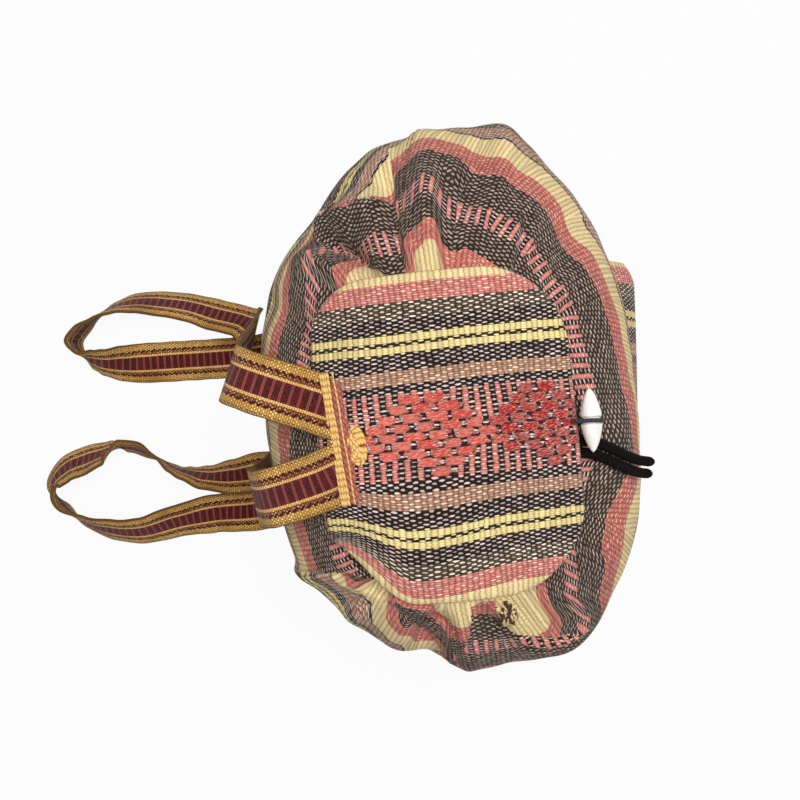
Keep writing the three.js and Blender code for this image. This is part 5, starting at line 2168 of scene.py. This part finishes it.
@dataclass
class Closure:
    """Ivory toggle and the thin dark loop that holds it."""

    shape: BagShape
    flap: TopFlap
    length: float = 35.0
    diameter: float = 12.0
    waist: float = 9.5
    tilt: float = 4.0
    loop_diameter: float = 2.3
    loop_finish: TwistedYarn = TwistedYarn(
        "dark_cord", tone(46, 58, 62), tone(12, 16, 18), pitch=2.2, plies=2.0, crossed=False, relief=0.25,
        gloss=0.8)

    @property
    def middle(self) -> tuple[float, float, float]:
        """Finds the middle of the toggle, just past the flap's free edge.

        Returns:
            X, Y and Z in millimetres.
        """
        x, y = self.flap.tip
        x = x + 2.0
        y = y - self.diameter / 2 - 2 * self.shape.gap
        stand = self.diameter / 2 + self.shape.cord_diameter + 7 * self.shape.gap
        z = float(self.shape.shoulder_height(x, y)) + stand * float(self.shape.slope_length(x, y))
        return x, y, z

    def toggle(self) -> None:
        """Turns the toggle from its profile."""
        half = self.length / 2
        d, loop = self.diameter, self.loop_diameter
        rise = [(0.0, 1.0), (0.1 * d, 0.94), (0.22 * d, 0.8), (0.35 * d, 0.56), (0.44 * d, 0.32)]
        groove = [(0.475 * d, 1.5 * loop), (0.47 * d, 1.0 * loop), (self.waist / 2, 0.6 * loop)]
        upper = rise + [(out, way / half) for out, way in groove]
        profile = np.array([(r, -t * half) for r, t in upper] + [(r, t * half) for r, t in reversed(upper)])
        path = SmoothPath(np.column_stack([profile, np.zeros(len(profile))])).at(np.linspace(0.0, 1.0, 91))
        path[:, 0] = np.maximum(path[:, 0], 0.0)
        path[[0, -1], 0] = 0.0
        x, y, z = self.middle
        centre = (METRES * x, METRES * y, METRES * z)
        work = bmesh.new()
        spots = ((METRES * (x + along), METRES * (y + out), METRES * z) for out, along, _ in path)
        line = [work.verts.new(spot) for spot in spots]
        edges = [work.edges.new(pair) for pair in zip(line[:-1], line[1:])]
        bmesh.ops.spin(work, geom=line + edges, cent=centre, axis=(1.0, 0.0, 0.0), angle=2 * math.pi,
                       steps=48, use_merge=True)
        bmesh.ops.remove_doubles(work, verts=work.verts[:], dist=WELD)
        bmesh.ops.recalc_face_normals(work, faces=work.faces[:])
        askew = Matrix.Rotation(math.radians(self.tilt), 3, "Z")
        bmesh.ops.rotate(work, verts=work.verts[:], cent=centre, matrix=askew)
        Piece("toggle_bead", "ivory_toggle", ("toggle",)).place(work, Ivory().dress())

    def loop(self) -> None:
        """Makes the loop from the flap over the toggle's waist and back under the flap."""
        x, y, z = self.middle
        tip_x, tip_y = self.flap.tip
        tip_z = float(self.shape.flap_top(tip_x, tip_y))
        around = self.waist / 2 + self.loop_diameter / 2 + self.shape.gap
        points = []
        for way in (4.5, 3.0):
            top = float(self.shape.flap_top(x, tip_y + way))
            points.append((x - 0.5, tip_y + way, top + self.loop_diameter / 2 + 1.6))
        points.append((x - 0.5, tip_y + 1.5, lerp(tip_z, z + around, 0.62)))
        for turn in (82, 110, 140, 170, 200, 230, 260, 285):
            t = math.radians(turn)
            points.append((x, y + around * math.cos(t), z + around * math.sin(t)))
        points.append((x + 0.5, tip_y + 2.0, tip_z - self.shape.cloth - self.loop_diameter / 2 - 2.0))
        curve = SmoothPath(np.array(points)).at(np.linspace(0.0, 1.0, 90))
        work = Loom.cord(curve, self.loop_diameter / 2, tip=0.6, sides=12)
        Piece("toggle_cord", "dark_cord", ("toggle_loop",)).place(work, self.loop_finish.dress())

    def build(self) -> None:
        """Makes the toggle and its loop."""
        self.toggle()
        self.loop()


@dataclass
class Pocket:
    """Puffed front pocket and its brocade flap."""

    shape: BagShape
    width: float = 178.0
    top: float = 132.0
    bottom: float = 30.0
    puff: float = 20.0
    mouth: float = 7.0
    flap_drop: float = 46.0
    flap_rise: float = 26.0
    flap_wider: float = 4.0
    curl_depth: float = 11.0
    curl_from: float = 13.0
    curl_reach: float = 15.0
    corner_from: float = 0.72
    corner_lift: float = 0.12
    pick: float = 2.9
    end: float = 1.31
    centre: float = 73.0
    rows: int = 100
    columns: int = 160

    def front(self, x: Array, z: Array) -> Array:
        """Finds the pocket's front.

        Args:
            x: X of the points.
            z: Height of the points.

        Returns:
            Y of the front there.
        """
        low = smoothstep(z, self.bottom, self.top)
        bow = 1.0 - (2.0 * x / self.width) ** 2
        flat = self.shape.front_y_most - lerp(self.puff, self.mouth, low * low) - 1.5 * bow
        return np.minimum(flat, self.shape.front_y(x, z) - self.shape.cloth - 2.5 * bow)

    def pocket(self) -> None:
        """Makes the pocket."""

        def boxy(share: Array) -> Array:
            """Nearly flat rise that falls to 0 at a share of 1 or -1."""
            return np.maximum(1.0 - np.abs(share) ** 6, 0.0) ** (1.0 / 6.0)

        rise = np.linspace(0.0, 1.0, self.rows + 1) * math.pi / 2
        turn = np.linspace(-0.5, 0.5, self.columns + 1) * math.pi
        up, across = over_grid(1.0 - np.cos(rise), np.sin(turn))
        x = self.width / 2 * across
        z = self.bottom + (self.top - self.bottom) * up
        wall = self.shape.front_y(x, z) - 5 * self.shape.gap
        full = boxy(across) * boxy(1.0 - up)
        front = np.minimum(self.front(x, z), wall - self.shape.cloth)
        sag = 1.0 * np.sin(x / 26.0 + 0.6) * np.sin((z - self.bottom) / 24.0) * full
        y = lerp(wall, front, full) + np.maximum(sag, -0.6)
        points = np.stack([x, y, z], axis=-1)
        middle = self.columns // 2
        wide = lengths(points, 1)
        wide = wide - wide[:, [middle]]
        way = lengths(points[:, middle])[:, None]
        work = Loom.sheet(points, way / self.pick, wide / self.end + self.centre)
        cloth = StripedCloth("pocket_cloth", POCKET_STRIPES, self.centre, seed=3.0)
        piece = Piece("pocket_cloth", "striped_cloth", ("front_pocket",), self.shape.cloth)
        made = piece.place(work, cloth.dress())

    def flap(self) -> None:
        """Makes the pocket's flap."""
        shape = self.shape
        width = self.width + self.flap_wider
        across = np.linspace(-0.5, 0.5, self.columns + 1) * width
        v, x = over_grid(np.linspace(0.0, 1.0, self.rows + 1), across)
        edge_z = self.top + 2 * shape.gap

        def front(z: Array) -> Array:
            """Place of the flap's front over the pocket."""
            wall = shape.front_y(x, z) - shape.cloth - 5 * shape.gap
            return np.minimum(self.front(x, z), wall) - 6 * shape.gap

        over = 0.36
        share = np.clip(v / over, 0.0, 1.0)
        rise = min(self.flap_rise, shape.belly_height - edge_z)
        root = shape.front_y(x, np.full_like(x, edge_z + rise)) - 1.5 * shape.gap
        upper_y = lerp(root, front(np.full_like(x, self.top)), np.sin(share * math.pi / 2))
        upper_z = edge_z + rise * (1.0 - share)
        fall = np.clip((v - over) / (1.0 - over), 0.0, 1.0)
        hang = edge_z - fall * self.flap_drop
        late = np.maximum(fall - self.corner_from, 0.0)
        corner = self.width / 2 * self.corner_lift * late * (2.0 * x / width) ** 4
        lower_y = front(np.minimum(hang, self.top))
        top = v < over
        y = np.where(top, upper_y, lower_y)
        z = np.where(top, upper_z, hang + corner)
        ripple = 0.8 * np.sin(x / 21.0 + 1.0) * smoothstep(v, 0.5, 1.0)
        end = np.clip((np.abs(x) - (self.width / 2 - self.curl_from)) / self.curl_reach, 0.0, 1.0)
        curl = self.curl_depth * (1.0 - np.sqrt(1.0 - 0.96 * end ** 2)) * smoothstep(v, 0.1, over)
        points = np.stack([x, y - 0.8 - ripple + curl, z - 0.5 * curl], axis=-1)
        work = Loom.sheet(points, lengths(points) / self.pick, x / self.end + self.centre)
        bmesh.ops.reverse_faces(work, faces=work.faces[:])
        cloth = StripedCloth("pocket_brocade", FLAP_STRIPES, self.centre, Diamonds(first=16.0), seed=6.0)
        piece = Piece("pocket_flap_cloth", "brocade_cloth", ("pocket_flap",), shape.cloth)
        made = piece.place(work, cloth.dress())

    def build(self) -> None:
        """Makes the pocket and its flap."""
        self.pocket()
        self.flap()


@dataclass
class Studio:
    """Camera straight above, soft light and a plain white table."""

    eye: tuple[float, float, float] = (0.0, 0.033, 0.670)
    lens: float = 35.3
    lamp_at: tuple[float, float, float] = (0.22, -0.12, 1.45)
    lamp_aim: tuple[float, float, float] = (0.0, 0.0, 0.2)
    lamp_size: float = 1.0
    lamp_power: float = 18.5
    room_light: float = 0.26
    table_glow: float = 0.93
    table_drop: float = 0.0004

    @staticmethod
    def put(data: bpy.types.ID) -> bpy.types.Object:
        """Adds an object with the name of its data.

        Args:
            data: Camera, light or mesh.

        Returns:
            The object.
        """
        made = bpy.data.objects.new(data.name, data)
        bpy.context.scene.collection.objects.link(made)
        return made

    def camera(self) -> None:
        """Makes the camera at the photograph's place."""
        data = bpy.data.cameras.new("camera")
        data.lens = self.lens
        data.sensor_width = 36.0
        data.clip_start = 0.01
        made = self.put(data)
        made.location = self.eye
        made.rotation_euler = (0.0, 0.0, math.radians(-90.0))
        bpy.context.scene.camera = made

    def table(self) -> None:
        """Makes the white table, which keeps the bag's soft shadow."""
        shade = Shading("white_table")
        fine = shade.noise(shade.place(), 40.0, 3.0)
        paint = shade.mix(fine, tone(212, 212, 212), tone(220, 220, 220))
        matte = shade.wire("ShaderNodeBsdfPrincipled", {}, {"Base Color": paint, "Roughness": 0.9})
        glow = shade.wire("ShaderNodeEmission", {}, {"Strength": 1.0})
        both = shade.blend(shade.seen() * self.table_glow, matte, glow)
        shade.node("ShaderNodeOutputMaterial", {}, {"Surface": both})
        work = bmesh.new()
        bmesh.ops.create_grid(work, x_segments=8, y_segments=8, size=3.0)
        bmesh.ops.translate(work, verts=work.verts[:], vec=(0.0, 0.0, -self.table_drop))
        mesh = bpy.data.meshes.new("table")
        work.to_mesh(mesh)
        work.free()
        mesh.materials.append(shade.material)
        self.put(mesh)

    def lights(self) -> None:
        """Sets the even room light and one large soft lamp."""
        scene = bpy.context.scene
        scene.view_settings.view_transform = "Standard"
        scene.world = bpy.data.worlds.new("room")
        shade = Shading("room", scene.world)
        white = tone(255, 255, 255)
        room = shade.wire("ShaderNodeBackground", {}, {"Color": white, "Strength": self.room_light})
        backdrop = shade.wire("ShaderNodeBackground", {}, {"Color": white, "Strength": 1.0})
        both = shade.blend(shade.seen(), room, backdrop)
        shade.node("ShaderNodeOutputWorld", {}, {"Surface": both})
        lamp = bpy.data.lights.new("softbox", "AREA")
        lamp.shape = "DISK"
        lamp.size = self.lamp_size
        lamp.energy = self.lamp_power
        made = self.put(lamp)
        made.location = self.lamp_at
        away = Vector(self.lamp_at) - Vector(self.lamp_aim)
        made.rotation_euler = away.to_track_quat("Z", "Y").to_euler()

    def build(self) -> None:
        """Sets the light and the table."""
        self.lights()
        self.table()


def main() -> None:
    """Builds the bag's pieces in order and reports each one."""
    logging.basicConfig(level=logging.INFO, format="%(message)s")
    shape = BagShape()
    studio = Studio()
    studio.camera()
    Drawstring(shape).build()
    BagBody(shape).build()
    flap = TopFlap(shape)
    flap.build()
    webbing = BeltWeave().dress()
    anchor = Anchor(shape)
    Strap(shape, flap, anchor, "right", STRAP_RIGHT, start_x=-6.0, tilt=17.0, foot_x=46.0).build(webbing)
    Strap(shape, flap, anchor, "left", STRAP_LEFT, start_x=-39.8, tilt=-25.0, foot_x=-88.0).build(webbing)
    anchor.build()
    Closure(shape, flap).build()
    Pocket(shape).build()
    studio.build()


if __name__ == "__main__":
    main()
